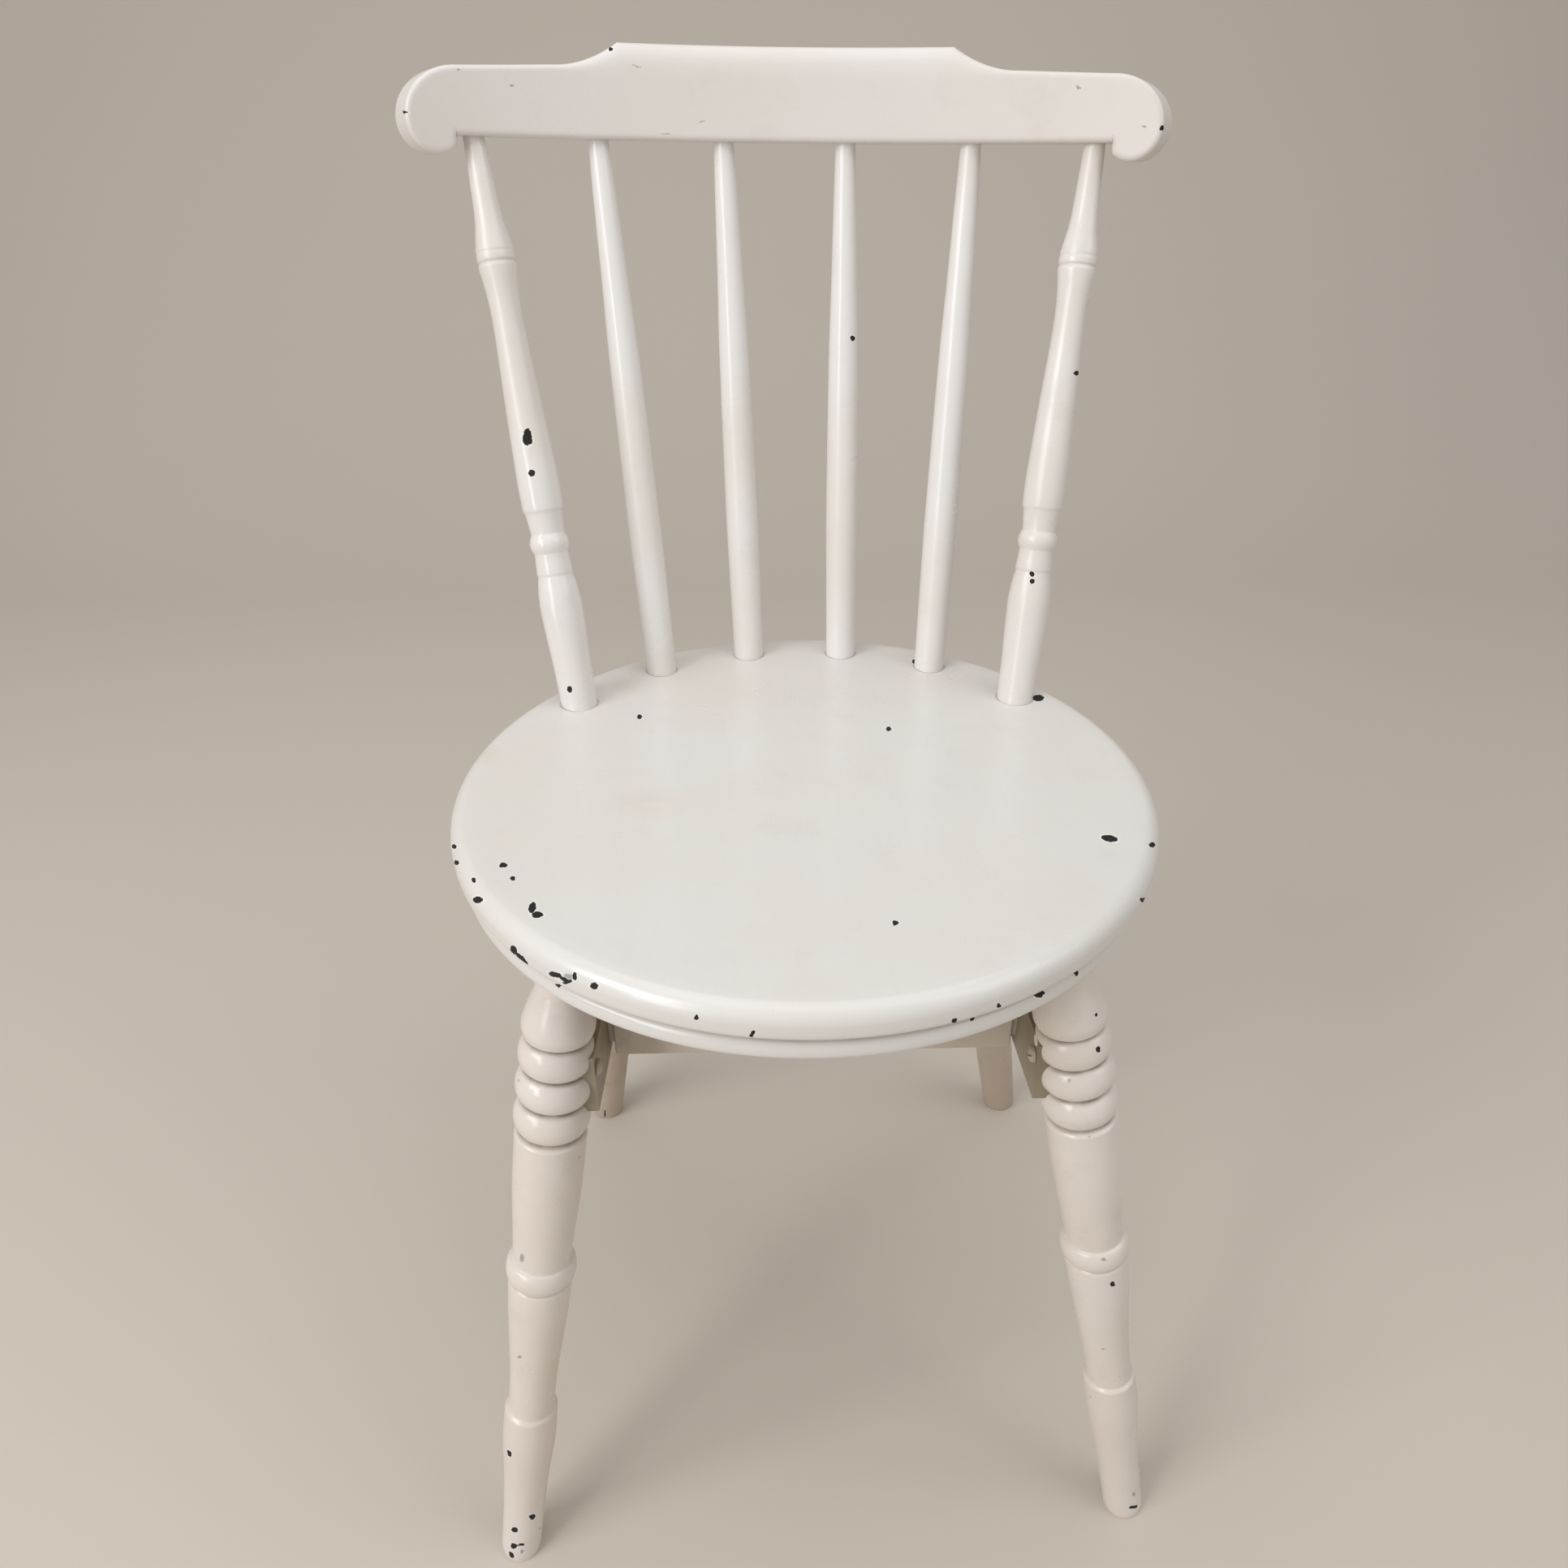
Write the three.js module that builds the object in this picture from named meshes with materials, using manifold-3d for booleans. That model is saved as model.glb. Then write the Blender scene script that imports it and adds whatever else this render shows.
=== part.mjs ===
// A round-seated, stick-backed kitchen chair in old gloss paint: a turned seat with a bead under its
// edge, four splayed legs, four spindles and two turned posts that carry a curved crest rail, and a
// frame of two side rails and two cross rails screwed between the legs.
// Millimetres, +Z up. The chair faces -Y, and its left side in a front view is -X.
// The origin lies on the floor, in the middle of the chair's outline seen from above.
import * as THREE from 'three';
import { mergeVertices } from 'three/addons/utils/BufferGeometryUtils.js';
import Module from 'manifold-3d';

const wasm = await Module();
wasm.setup();

// Seat
const SEAT_HEIGHT = 454;
const SEAT_RADIUS = 190;
const SEAT_THICKNESS = 31.5;
const SEAT_BEAD_HEIGHT = 10;
const SEAT_BEAD_INSET = 3.5;
const SEAT_GROOVE_DEPTH = 2.2;
const SEAT_NOSE_ROUND = 9;

// Legs: where their axes meet the seat's underside, and how far they splay to the floor
const FRONT_LEG_INSET = 26;
const FRONT_LEG_ANGLE = 47.3;
const FRONT_SPLAY_OUT = 70.4;
const FRONT_SPLAY_FORWARD = 50.3;
const REAR_LEG_INSET = 37;
const REAR_LEG_ANGLE = 45;
const REAR_SPLAY_OUT = 66.7;
const REAR_SPLAY_BACK = 82.8;
const LEG_TENON = 20;
const LEG_NECK_DIAMETER = 26;
const REAR_LEG_TOP_DIAMETER = 27;
const FRONT_BALL_DIAMETER = 39.6;
const REAR_LEG_BELLY_DIAMETER = 33.4;
const FOOT_DIAMETER = 18;

// Back: six sticks on one circle of the seat, and the curved rail they carry
const BACK_HEIGHT = 297.5;
const BACK_RECLINE = 8.1;
const STICK_INSET = 26.5;
const STICK_ANGLES = [10.8, 32.2, 55.5];
const SPINDLE_TOP_DIAMETER = 11.4;
const SPINDLE_BELLY_DIAMETER = 20.2;
const SPINDLE_FOOT_DIAMETER = 19;
const POST_TOP_DIAMETER = 11.4;
const POST_BELLY_DIAMETER = 24.2;
const POST_FOOT_DIAMETER = 22;
const STICK_SEAT_TENON = 18;
const STICK_CREST_TENON = 14;

// Crest rail: lengths along it are arc lengths from its middle
const CREST_ARC_RADIUS = 400;
const CREST_THICKNESS = 22;
const CREST_LEAN = 4.5;
const CREST_STICK_PLACES = [34.7, 105.5, 173.6];
const CREST_BOARD_HEIGHT = 34.2;
const CREST_END_HEIGHT = 31.9;
const CREST_PLATFORM_HEIGHT = 46;
const CREST_PLATFORM_HALF = 90;
const CREST_SHOULDER_RUN = 30;
const CREST_EAR_BEYOND_POST = 37.6;
const CREST_EAR_DROP = 9;
const CREST_EAR_RADIUS = 16;
const CREST_EAR_CORNER = 30;
const CREST_NOTCH_BEYOND_POST = 11.3;
const CREST_EASED_EDGE = 2.5;
const CREST_ROLL_HEIGHT = 15;
const CREST_ROLL_DEPTH = 7;

// Rail frame under the seat
const RAIL_DROP = 88.5;
const SIDE_RAIL_HEIGHT = 36;
const SIDE_RAIL_THICKNESS = 10;
const SIDE_RAIL_PROUD = 2;
const SIDE_RAIL_NOSE = 27;
const SIDE_RAIL_CORNER = 14;
const CROSS_RAIL_HEIGHT = 31;
const CROSS_RAIL_THICKNESS = 11;
const CROSS_RAIL_FACE = 88;
const CROSS_RAIL_OPEN_JOINT = 3;
const CROSS_TENON_LENGTH = 6;
const CROSS_TENON_HEIGHT = 18;
const CROSS_TENON_THICKNESS = 5;

// Round-head screws that hold the side rails to the legs
const SCREW_HEAD_DIAMETER = 8.6;
const SCREW_HEAD_HEIGHT = 3;
const SCREW_SHANK_DIAMETER = 4.2;
const SCREW_LENGTH = 22;
const SCREW_SLOT_WIDTH = 1.2;
const SCREW_SLOT_DEPTH = 1.3;
const SCREW_SLOT_ANGLE = 34;
const SCREW_HEIGHT_ON_RAIL = 24.5;

// Age: the chair has racked sideways on its joints, and two feet have crept
const RACK_AT_FLOOR = 9.4;
const FRONT_LEG_SHIFT = 1.2;
const FRONT_FEET_TWIST = 8;
const CREST_SHIFT = -4.5;
const CREST_DROP_ANGLE = 0.85;

// Fits and fineness
const CLEARANCE = 0.3;
const LEG_FACETS = 20;
const STICK_FACETS = 16;
const SEAT_FACETS = 60;
const SCREW_FACETS = 12;
const CURVE_STEPS = 3;
const SWEEP_STEPS = 1.3;
const CREST_STATION_GAP = 14;

// Paint, as it shows in the light, and the dirtier paint underneath
const PAINT_COLOUR = '#e6e2da';
const REAR_LEG_COLOUR = '#d8d0c2';
const RAIL_COLOUR = '#cfc6b6';

const UP = new THREE.Vector3(0, 1, 0);
const seatUnderside = SEAT_HEIGHT - SEAT_THICKNESS;
const railBottom = seatUnderside - RAIL_DROP;
const radians = THREE.MathUtils.degToRad;

/** Turns a three.js geometry, moved by a matrix, into a solid that can be cut and joined. */
function solidOf(geometry, matrix = new THREE.Matrix4()) {
  const bare = new THREE.BufferGeometry();
  bare.setAttribute('position', geometry.getAttribute('position').clone());
  if (geometry.index) {
    bare.setIndex(geometry.index.clone());
  }
  bare.applyMatrix4(matrix);
  const merged = mergeVertices(bare, 1e-4);
  const vertProperties = new Float32Array(merged.getAttribute('position').array);
  const triVerts = new Uint32Array(merged.index.array);
  return new wasm.Manifold(new wasm.Mesh({ numProp: 3, vertProperties, triVerts }));
}

/** Turns a solid back into a three.js geometry. */
function geometryOf(solid) {
  const mesh = solid.getMesh();
  const geometry = new THREE.BufferGeometry();
  geometry.setAttribute('position', new THREE.BufferAttribute(new Float32Array(mesh.vertProperties), 3));
  geometry.setIndex(new THREE.BufferAttribute(new Uint32Array(mesh.triVerts), 1));
  const faceted = geometry.toNonIndexed();
  faceted.computeVertexNormals();
  return faceted;
}

/** A piece of the chair: its geometry in its own frame, and the matrix that places it on the chair. */
class Piece {
  constructor(name, geometry, matrix, colour, roughness) {
    this.name = name;
    this.solid = solidOf(geometry);
    this.matrix = matrix.clone();
    this.material = new THREE.MeshStandardMaterial({ color: colour, roughness, metalness: 0 });
  }

  /** Cuts away a geometry that is placed on the chair by its own matrix. */
  cut(geometry, matrix) {
    this.solid = this.solid.subtract(solidOf(geometry, this.toLocal(matrix)));
    return this;
  }

  /** Joins on a geometry that is placed on the chair by its own matrix. */
  join(geometry, matrix) {
    this.solid = this.solid.add(solidOf(geometry, this.toLocal(matrix)));
    return this;
  }

  toLocal(matrix) {
    return this.matrix.clone().invert().multiply(matrix);
  }

  /** The finished mesh, in its place. */
  mesh() {
    const mesh = new THREE.Mesh(geometryOf(this.solid), this.material);
    mesh.name = this.name;
    this.matrix.decompose(mesh.position, mesh.quaternion, mesh.scale);
    return mesh;
  }
}

/** A straight axis from a top point down to a foot point, with the matrix of what is turned on it. */
class Axis {
  constructor(top, foot) {
    this.top = top;
    this.foot = foot;
    this.length = top.distanceTo(foot);
    this.direction = top.clone().sub(foot).normalize();
    const turn = new THREE.Quaternion().setFromUnitVectors(UP, this.direction);
    this.matrix = new THREE.Matrix4().compose(top, turn, new THREE.Vector3(1, 1, 1));
  }

  /** The point of the axis at a height above the floor. */
  atHeight(z) {
    const share = (this.top.z - z) / (this.top.z - this.foot.z);
    return this.top.clone().lerp(this.foot, share);
  }

  /** A matrix whose origin is on the axis, a distance below its top. */
  below(distance) {
    return this.matrix.clone().multiply(new THREE.Matrix4().makeTranslation(0, -distance, 0));
  }
}

/**
 * The outline of a turned piece, drawn from its top down. Places along it are given on a pattern
 * stick and stretched to the length of the piece.
 */
class Turning {
  constructor(length, patternLength, topDiameter, tenon) {
    this.stretch = length / patternLength;
    this.points = [
      new THREE.Vector2(0, tenon),
      new THREE.Vector2(topDiameter / 2 - 0.5, tenon),
      new THREE.Vector2(topDiameter / 2, tenon - 1),
      new THREE.Vector2(topDiameter / 2, 0),
    ];
  }

  point(place, diameter) {
    return new THREE.Vector2(diameter / 2, -place * this.stretch);
  }

  follow(curve, steps) {
    this.points.push(...curve.getPoints(steps).slice(1));
    return this;
  }

  /** A straight run to a place and diameter. */
  line(place, diameter) {
    this.points.push(this.point(place, diameter));
    return this;
  }

  /** A smooth run through several [place, diameter] pairs. */
  sweep(pairs) {
    const through = pairs.map(([place, diameter]) => this.point(place, diameter));
    const curve = new THREE.SplineCurve([this.points.at(-1), ...through]);
    return this.follow(curve, Math.ceil(pairs.length * SWEEP_STEPS));
  }

  /** A rounded swelling or a cove to a place and diameter, with its middle at a third diameter. */
  round(place, diameter, middleDiameter) {
    const from = this.points.at(-1);
    const to = this.point(place, diameter);
    const control = from.clone().add(to).multiplyScalar(0.5);
    control.x = middleDiameter - control.x;
    return this.follow(new THREE.QuadraticBezierCurve(from, control, to), CURVE_STEPS);
  }

  /** Closes the outline on the axis and turns it. */
  turn(facets) {
    this.points.push(new THREE.Vector2(0, this.points.at(-1).y));
    return new THREE.LatheGeometry([...this.points].reverse(), facets);
  }
}

/** A round hole for the end of a turned piece: its length each way from a point on the axis. */
function socket(diameter, above, below, facets) {
  const radius = diameter / 2 + CLEARANCE;
  const hole = new THREE.CylinderGeometry(radius, radius, above + below, facets);
  return hole.translate(0, (above - below) / 2, 0);
}

/** A skin over rings of the same count of points. The first and the last ring each close on a line. */
function skin(rings) {
  const count = rings[0].length;
  const faces = [];
  for (let ring = 0; ring + 1 < rings.length; ring += 1) {
    for (let place = 0; place < count; place += 1) {
      const near = ring * count + place;
      const next = ring * count + (place + 1) % count;
      faces.push(near, next + count, next, near, near + count, next + count);
    }
  }
  const geometry = new THREE.BufferGeometry().setFromPoints(rings.flat());
  return geometry.setIndex(faces);
}

/** A box between two corners. */
function boxBetween(low, high) {
  const size = high.clone().sub(low);
  const middle = low.clone().add(high).multiplyScalar(0.5);
  return new THREE.BoxGeometry(size.x, size.y, size.z).translate(middle.x, middle.y, middle.z);
}

/** Everything under the floor, for trimming the feet level. */
function underFloor() {
  const reach = SEAT_RADIUS * 3;
  return boxBetween(new THREE.Vector3(-reach, -reach, -reach), new THREE.Vector3(reach, reach, 0));
}

// Legs

function legAxis(side, front) {
  const inset = front ? FRONT_LEG_INSET : REAR_LEG_INSET;
  const angle = radians(front ? FRONT_LEG_ANGLE : REAR_LEG_ANGLE);
  const radius = SEAT_RADIUS - inset;
  const forward = front ? -1 : 1;
  const shift = front ? FRONT_LEG_SHIFT : 0;
  const top = new THREE.Vector3(
    side * radius * Math.sin(angle) + shift,
    forward * radius * Math.cos(angle),
    seatUnderside);
  const out = front ? FRONT_SPLAY_OUT : REAR_SPLAY_OUT;
  const along = front ? FRONT_SPLAY_FORWARD : REAR_SPLAY_BACK;
  const crept = front ? side * FRONT_FEET_TWIST : 0;
  const foot = new THREE.Vector3(top.x + side * out + RACK_AT_FLOOR, top.y + forward * along + crept, 0);
  return new Axis(top, foot);
}

/** The front leg: a neck, four balls, a taper, a collar, a second taper and a tulip over the foot. */
function frontLegGeometry(length) {
  const ball = FRONT_BALL_DIAMETER;
  const neck = LEG_NECK_DIAMETER;
  return new Turning(length, 432, neck, LEG_TENON)
    .line(20, neck - 0.4)
    .sweep([[29, ball - 7.6], [37, ball - 3.6], [44, ball - 3.2], [48, ball - 5.4]])
    .line(49, ball - 6.4)
    .round(67.8, ball - 5, ball - 1.5)
    .round(86.8, ball - 4.2, ball)
    .round(106, ball - 3.6, ball)
    .line(109, ball - 1.8)
    .sweep([[140, ball - 3], [170, ball - 6.2], [191, ball - 8]])
    .round(208.5, ball - 4, ball - 1.6)
    .line(211, ball - 5)
    .sweep([[227, 33.6], [250, 30.6], [280, 26.9], [306, 26.3]])
    .round(311, 30.2, 29.4)
    .sweep([[333, 30.8], [358, 27.6], [384, 25.3], [425, 24.2]])
    .round(437, FOOT_DIAMETER, 23)
    .turn(LEG_FACETS);
}

/** The rear leg: a plain round taper, fullest a third of the way down. */
function rearLegGeometry(length) {
  const belly = REAR_LEG_BELLY_DIAMETER;
  return new Turning(length, 434, REAR_LEG_TOP_DIAMETER, LEG_TENON)
    .sweep([[60, belly - 1.6], [150, belly], [250, belly - 0.6], [343, belly - 3], [427, belly - 7]])
    .round(439, FOOT_DIAMETER, belly - 8.4)
    .turn(LEG_FACETS);
}

// Sticks of the back

/** The crest rail's frame: origin under its middle, halfway through its thickness. */
function crestMatrix() {
  const back = SEAT_RADIUS - STICK_INSET + BACK_HEIGHT * Math.tan(radians(BACK_RECLINE));
  const turn = new THREE.Euler(-radians(CREST_LEAN), radians(CREST_DROP_ANGLE), 0);
  const place = new THREE.Vector3(CREST_SHIFT, back, SEAT_HEIGHT + BACK_HEIGHT);
  const quaternion = new THREE.Quaternion().setFromEuler(turn);
  return new THREE.Matrix4().compose(place, quaternion, new THREE.Vector3(1, 1, 1));
}

/** A point of the bent rail in its own frame: arc length, height, and depth behind its middle. */
function bent(arcLength, height, depth) {
  const angle = arcLength / CREST_ARC_RADIUS;
  const radius = CREST_ARC_RADIUS + depth;
  return new THREE.Vector3(
    radius * Math.sin(angle), radius * Math.cos(angle) - CREST_ARC_RADIUS, height);
}

/** The axis of a stick: rank 0 next to the middle, rank 2 the outer post. */
function stickAxis(side, rank) {
  const angle = radians(STICK_ANGLES[rank]);
  const radius = SEAT_RADIUS - STICK_INSET;
  const foot = new THREE.Vector3(side * radius * Math.sin(angle), radius * Math.cos(angle), SEAT_HEIGHT);
  return new Axis(bent(side * CREST_STICK_PLACES[rank], 0, 0).applyMatrix4(crestMatrix()), foot);
}

/** The outer post: a flare with two grooves, a long swell, a bead between two necks and a foot. */
function postGeometry(length) {
  const end = 310 * (length + STICK_SEAT_TENON) / length;
  const belly = POST_BELLY_DIAMETER;
  return new Turning(length, 310, POST_TOP_DIAMETER, STICK_CREST_TENON)
    .sweep([[21, POST_TOP_DIAMETER + 1.6], [40, belly - 9], [51, belly - 5], [56, belly - 3.2]])
    .line(57, belly - 3.8)
    .line(58, belly - 3)
    .line(61, belly - 2.9)
    .line(62, belly - 4.6)
    .line(64, belly - 2.9)
    .sweep([[72, belly - 5.2], [84, belly - 7], [102, belly - 6.6], [136, belly - 3.4], [180, belly]])
    .line(194, belly - 0.4)
    .line(196, belly - 2.4)
    .line(208, belly - 4.8)
    .round(219, belly - 4.4, belly - 1)
    .line(230.6, belly - 2.6)
    .line(232, belly - 3.6)
    .sweep([[237, belly - 1.4], [249, belly + 1], [265, belly + 0.4], [286, belly - 1.4]])
    .line(310, POST_FOOT_DIAMETER)
    .line(end - 1, POST_FOOT_DIAMETER)
    .line(end, POST_FOOT_DIAMETER - 2)
    .turn(STICK_FACETS);
}

/** The inner spindle: a plain stick that swells gently towards the seat. */
function spindleGeometry(length) {
  const end = 300 * (length + STICK_SEAT_TENON) / length;
  const belly = SPINDLE_BELLY_DIAMETER;
  return new Turning(length, 300, SPINDLE_TOP_DIAMETER, STICK_CREST_TENON)
    .sweep([[29, SPINDLE_TOP_DIAMETER + 1.8], [72, belly - 4.8], [116, belly - 2.3], [213, belly]])
    .line(300, SPINDLE_FOOT_DIAMETER)
    .line(end - 1, SPINDLE_FOOT_DIAMETER)
    .line(end, SPINDLE_FOOT_DIAMETER - 2)
    .turn(STICK_FACETS);
}

// Seat

function seatGeometry() {
  const bead = SEAT_RADIUS - SEAT_BEAD_INSET;
  const groove = bead - SEAT_GROOVE_DEPTH;
  const ledge = SEAT_BEAD_HEIGHT + 1.2;
  const outline = new THREE.Path();
  outline.moveTo(0, -SEAT_THICKNESS);
  outline.lineTo(bead - 5, -SEAT_THICKNESS);
  outline.quadraticCurveTo(bead, -SEAT_THICKNESS, bead, SEAT_BEAD_HEIGHT / 2 - SEAT_THICKNESS);
  outline.quadraticCurveTo(bead, SEAT_BEAD_HEIGHT - SEAT_THICKNESS,
    groove, SEAT_BEAD_HEIGHT - SEAT_THICKNESS);
  outline.lineTo(groove, ledge - SEAT_THICKNESS);
  outline.quadraticCurveTo(SEAT_RADIUS, ledge - SEAT_THICKNESS,
    SEAT_RADIUS, ledge + 5 - SEAT_THICKNESS);
  outline.lineTo(SEAT_RADIUS, -SEAT_NOSE_ROUND);
  outline.absarc(SEAT_RADIUS - SEAT_NOSE_ROUND, -SEAT_NOSE_ROUND, SEAT_NOSE_ROUND, 0, Math.PI / 2);
  outline.lineTo(0, 0);
  return new THREE.LatheGeometry(outline.getPoints(CURVE_STEPS), SEAT_FACETS);
}

function makeSeat(legs, sticks) {
  const place = new THREE.Matrix4().makeTranslation(0, 0, SEAT_HEIGHT);
  const upright = new THREE.Matrix4().makeRotationX(Math.PI / 2);
  const seat = new Piece('seat', seatGeometry(), place.multiply(upright), PAINT_COLOUR, 0.35);
  for (const { axis, front } of legs) {
    const diameter = front ? LEG_NECK_DIAMETER : REAR_LEG_TOP_DIAMETER;
    seat.cut(socket(diameter, LEG_TENON + CLEARANCE, diameter, LEG_FACETS), axis.matrix);
  }
  for (const { axis, rank } of sticks) {
    const diameter = rank === 2 ? POST_FOOT_DIAMETER : SPINDLE_FOOT_DIAMETER;
    const hole = socket(diameter, diameter, STICK_SEAT_TENON + CLEARANCE, STICK_FACETS);
    seat.cut(hole, axis.below(axis.length));
  }
  return seat;
}

// Crest rail

/** Evenly spaced values from one number towards another, without the last. */
function spaced(from, to, count) {
  return Array.from({ length: count }, (_, index) => from + (to - from) * index / count);
}

/**
 * The stations of the rail's right half, from its middle to its end. Each has the point of the top
 * edge and of the bottom edge, as arc length and height, and how far the front face is rolled back.
 */
function crestStations() {
  const shoulder = CREST_PLATFORM_HALF + CREST_SHOULDER_RUN;
  const post = CREST_STICK_PLACES[2];
  const notch = post + CREST_NOTCH_BEYOND_POST;
  const end = post + CREST_EAR_BEYOND_POST;
  const ear = new THREE.Vector2(end - CREST_EAR_RADIUS, CREST_EAR_RADIUS - CREST_EAR_DROP);
  const corner = new THREE.Vector2(CREST_EAR_CORNER, CREST_END_HEIGHT - ear.y);
  const stations = [];
  const add = (along, height, lowAlong, low, roll) => stations.push({
    top: new THREE.Vector2(along, height), bottom: new THREE.Vector2(lowAlong, low), roll });
  const straight = (from, to) => spaced(from, to, Math.ceil((to - from) / CREST_STATION_GAP));
  for (const along of straight(0, CREST_PLATFORM_HALF)) {
    add(along, CREST_PLATFORM_HEIGHT, along, 0, 1);
  }
  for (const share of spaced(0, 1, 6)) {
    const rise = (1 - share) ** 2;
    const along = CREST_PLATFORM_HALF + CREST_SHOULDER_RUN * share;
    add(along, CREST_BOARD_HEIGHT + (CREST_PLATFORM_HEIGHT - CREST_BOARD_HEIGHT) * rise, along, 0, rise);
  }
  for (const along of straight(shoulder, end - corner.x)) {
    const share = (along - shoulder) / (end - corner.x - shoulder);
    add(along, CREST_BOARD_HEIGHT + (CREST_END_HEIGHT - CREST_BOARD_HEIGHT) * share, along, 0, 0);
  }
  add(end - corner.x, CREST_END_HEIGHT, notch, 0, 0);
  const turned = Math.acos((notch - ear.x) / CREST_EAR_RADIUS);
  for (const share of [...spaced(0, 1, 7), 1]) {
    const above = (1 - share) * Math.PI / 2 * 0.94;
    const below = (share - 1) * turned;
    add(
      end - corner.x + corner.x * Math.cos(above), ear.y + corner.y * Math.sin(above),
      ear.x + CREST_EAR_RADIUS * Math.cos(below), ear.y + CREST_EAR_RADIUS * Math.sin(below), 0);
  }
  return stations;
}

/** The rail's own mesh: its outline with eased edges, its front rolled back along the platform. */
function crestGeometry() {
  const right = crestStations();
  const left = right.slice(1).reverse().map(({ top, bottom, roll }) => ({
    top: new THREE.Vector2(-top.x, top.y), bottom: new THREE.Vector2(-bottom.x, bottom.y), roll }));
  const stations = [...left, ...right];
  const under = stations.slice(1, -1).reverse().map(({ bottom }) => bottom);
  const outline = [...stations.map(({ top }) => top), ...under];
  const front = -CREST_THICKNESS / 2;
  const inward = (index) => {
    const before = outline.at(index - 1);
    const after = outline[(index + 1) % outline.length];
    const run = after.clone().sub(before).normalize();
    return new THREE.Vector2(run.y, -run.x);
  };
  const edge = (index, inset, depth, length) => {
    const point = outline[index].clone().addScaledVector(inward(index), inset);
    return bent(point.x, point.y, depth + length);
  };
  const eased = CREST_EASED_EDGE;
  const half = 1 - Math.SQRT1_2;
  const rings = stations.map(({ roll }, index) => {
    const low = (outline.length - index) % outline.length;
    const down = THREE.MathUtils.lerp(eased, CREST_ROLL_HEIGHT, roll);
    const back = THREE.MathUtils.lerp(eased, CREST_ROLL_DEPTH, roll);
    return [
      edge(index, down, front, 0),
      edge(index, down * half, front, back * half),
      edge(index, 0, front, back),
      edge(index, 0, -front, -eased),
      edge(index, eased * half, -front, -eased * half),
      edge(index, eased, -front, 0),
      edge(low, eased, -front, 0),
      edge(low, eased * half, -front, -eased * half),
      edge(low, 0, -front, -eased),
      edge(low, 0, front, eased),
      edge(low, eased * half, front, eased * half),
      edge(low, eased, front, 0),
    ];
  });
  return skin(rings);
}

function makeCrest(sticks) {
  const crest = new Piece('crest_rail', crestGeometry(), crestMatrix(), PAINT_COLOUR, 0.35);
  for (const { axis, rank } of sticks) {
    const diameter = rank === 2 ? POST_TOP_DIAMETER : SPINDLE_TOP_DIAMETER;
    crest.cut(socket(diameter, STICK_CREST_TENON + CLEARANCE, diameter, STICK_FACETS), axis.matrix);
  }
  return crest;
}

// Rail frame

/** A side rail's frame: origin on its inner face beside the front leg, y to the rear, x to the right. */
function sideRailFrame(side, frontAxis, rearAxis) {
  const level = railBottom + SIDE_RAIL_HEIGHT / 2;
  const front = frontAxis.atHeight(level);
  const rear = rearAxis.atHeight(level);
  front.x -= side * (FRONT_BALL_DIAMETER / 2 + SIDE_RAIL_PROUD);
  rear.x -= side * (REAR_LEG_BELLY_DIAMETER / 2 + SIDE_RAIL_PROUD);
  const along = rear.clone().sub(front).normalize();
  const up = new THREE.Vector3(0, 0, 1);
  const across = along.clone().cross(up);
  const matrix = new THREE.Matrix4().makeBasis(across, along, up);
  matrix.setPosition(front.x, front.y, railBottom);
  return { side, matrix, origin: front, along, span: front.distanceTo(rear) };
}

/** The board of a side rail, its lower corners rounded off, grown by a margin on every side. */
function sideRailGeometry({ side, span }, margin) {
  const front = -SIDE_RAIL_NOSE - margin;
  const rear = span + SIDE_RAIL_NOSE + margin;
  const low = -margin;
  const high = SIDE_RAIL_HEIGHT + margin;
  const shape = new THREE.Shape();
  shape.moveTo(front, high);
  shape.lineTo(front, low + SIDE_RAIL_CORNER);
  shape.quadraticCurveTo(front, low, front + SIDE_RAIL_CORNER, low);
  shape.lineTo(rear - SIDE_RAIL_CORNER, low);
  shape.quadraticCurveTo(rear, low, rear, low + SIDE_RAIL_CORNER);
  shape.lineTo(rear, high);
  shape.closePath();
  const depth = SIDE_RAIL_THICKNESS + 2 * margin;
  const board = new THREE.ExtrudeGeometry(shape, { depth, bevelEnabled: false, curveSegments: 5 });
  board.translate(0, 0, side * SIDE_RAIL_THICKNESS / 2 - depth / 2);
  const [x, y, z] = [0, 1, 2].map((index) => new THREE.Vector3().setComponent(index, 1));
  return board.applyMatrix4(new THREE.Matrix4().makeBasis(y, z, x));
}

/** The x of a side rail's inner face at a place in front of or behind the seat's centre. */
function innerFace(frame, y) {
  return frame.origin.x + frame.along.x * (y - frame.origin.y) / frame.along.y;
}

/** A level bar between the two side rails, stopping a distance short of their inner faces. */
function barBetween(frames, y, thickness, bottom, height, shortBy) {
  const corners = [];
  for (const frame of frames) {
    for (const edge of [-1, 1]) {
      const at = y + edge * thickness / 2;
      corners.push(new THREE.Vector2(innerFace(frame, at) - frame.side * shortBy, at));
    }
  }
  const [a, b, c, d] = corners;
  const shape = new THREE.Shape([a, b, d, c]);
  return new THREE.ExtrudeGeometry(shape, { depth: height, bevelEnabled: false }).translate(0, 0, bottom);
}

/** The stub tenons of a cross rail, as one bar, or with a margin the mortises that take them. */
function crossTenons(frames, y, margin) {
  return barBetween(
    frames, y, CROSS_TENON_THICKNESS + 2 * margin,
    railBottom + (CROSS_RAIL_HEIGHT - CROSS_TENON_HEIGHT) / 2 - margin,
    CROSS_TENON_HEIGHT + 2 * margin, -CROSS_TENON_LENGTH - margin);
}

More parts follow.
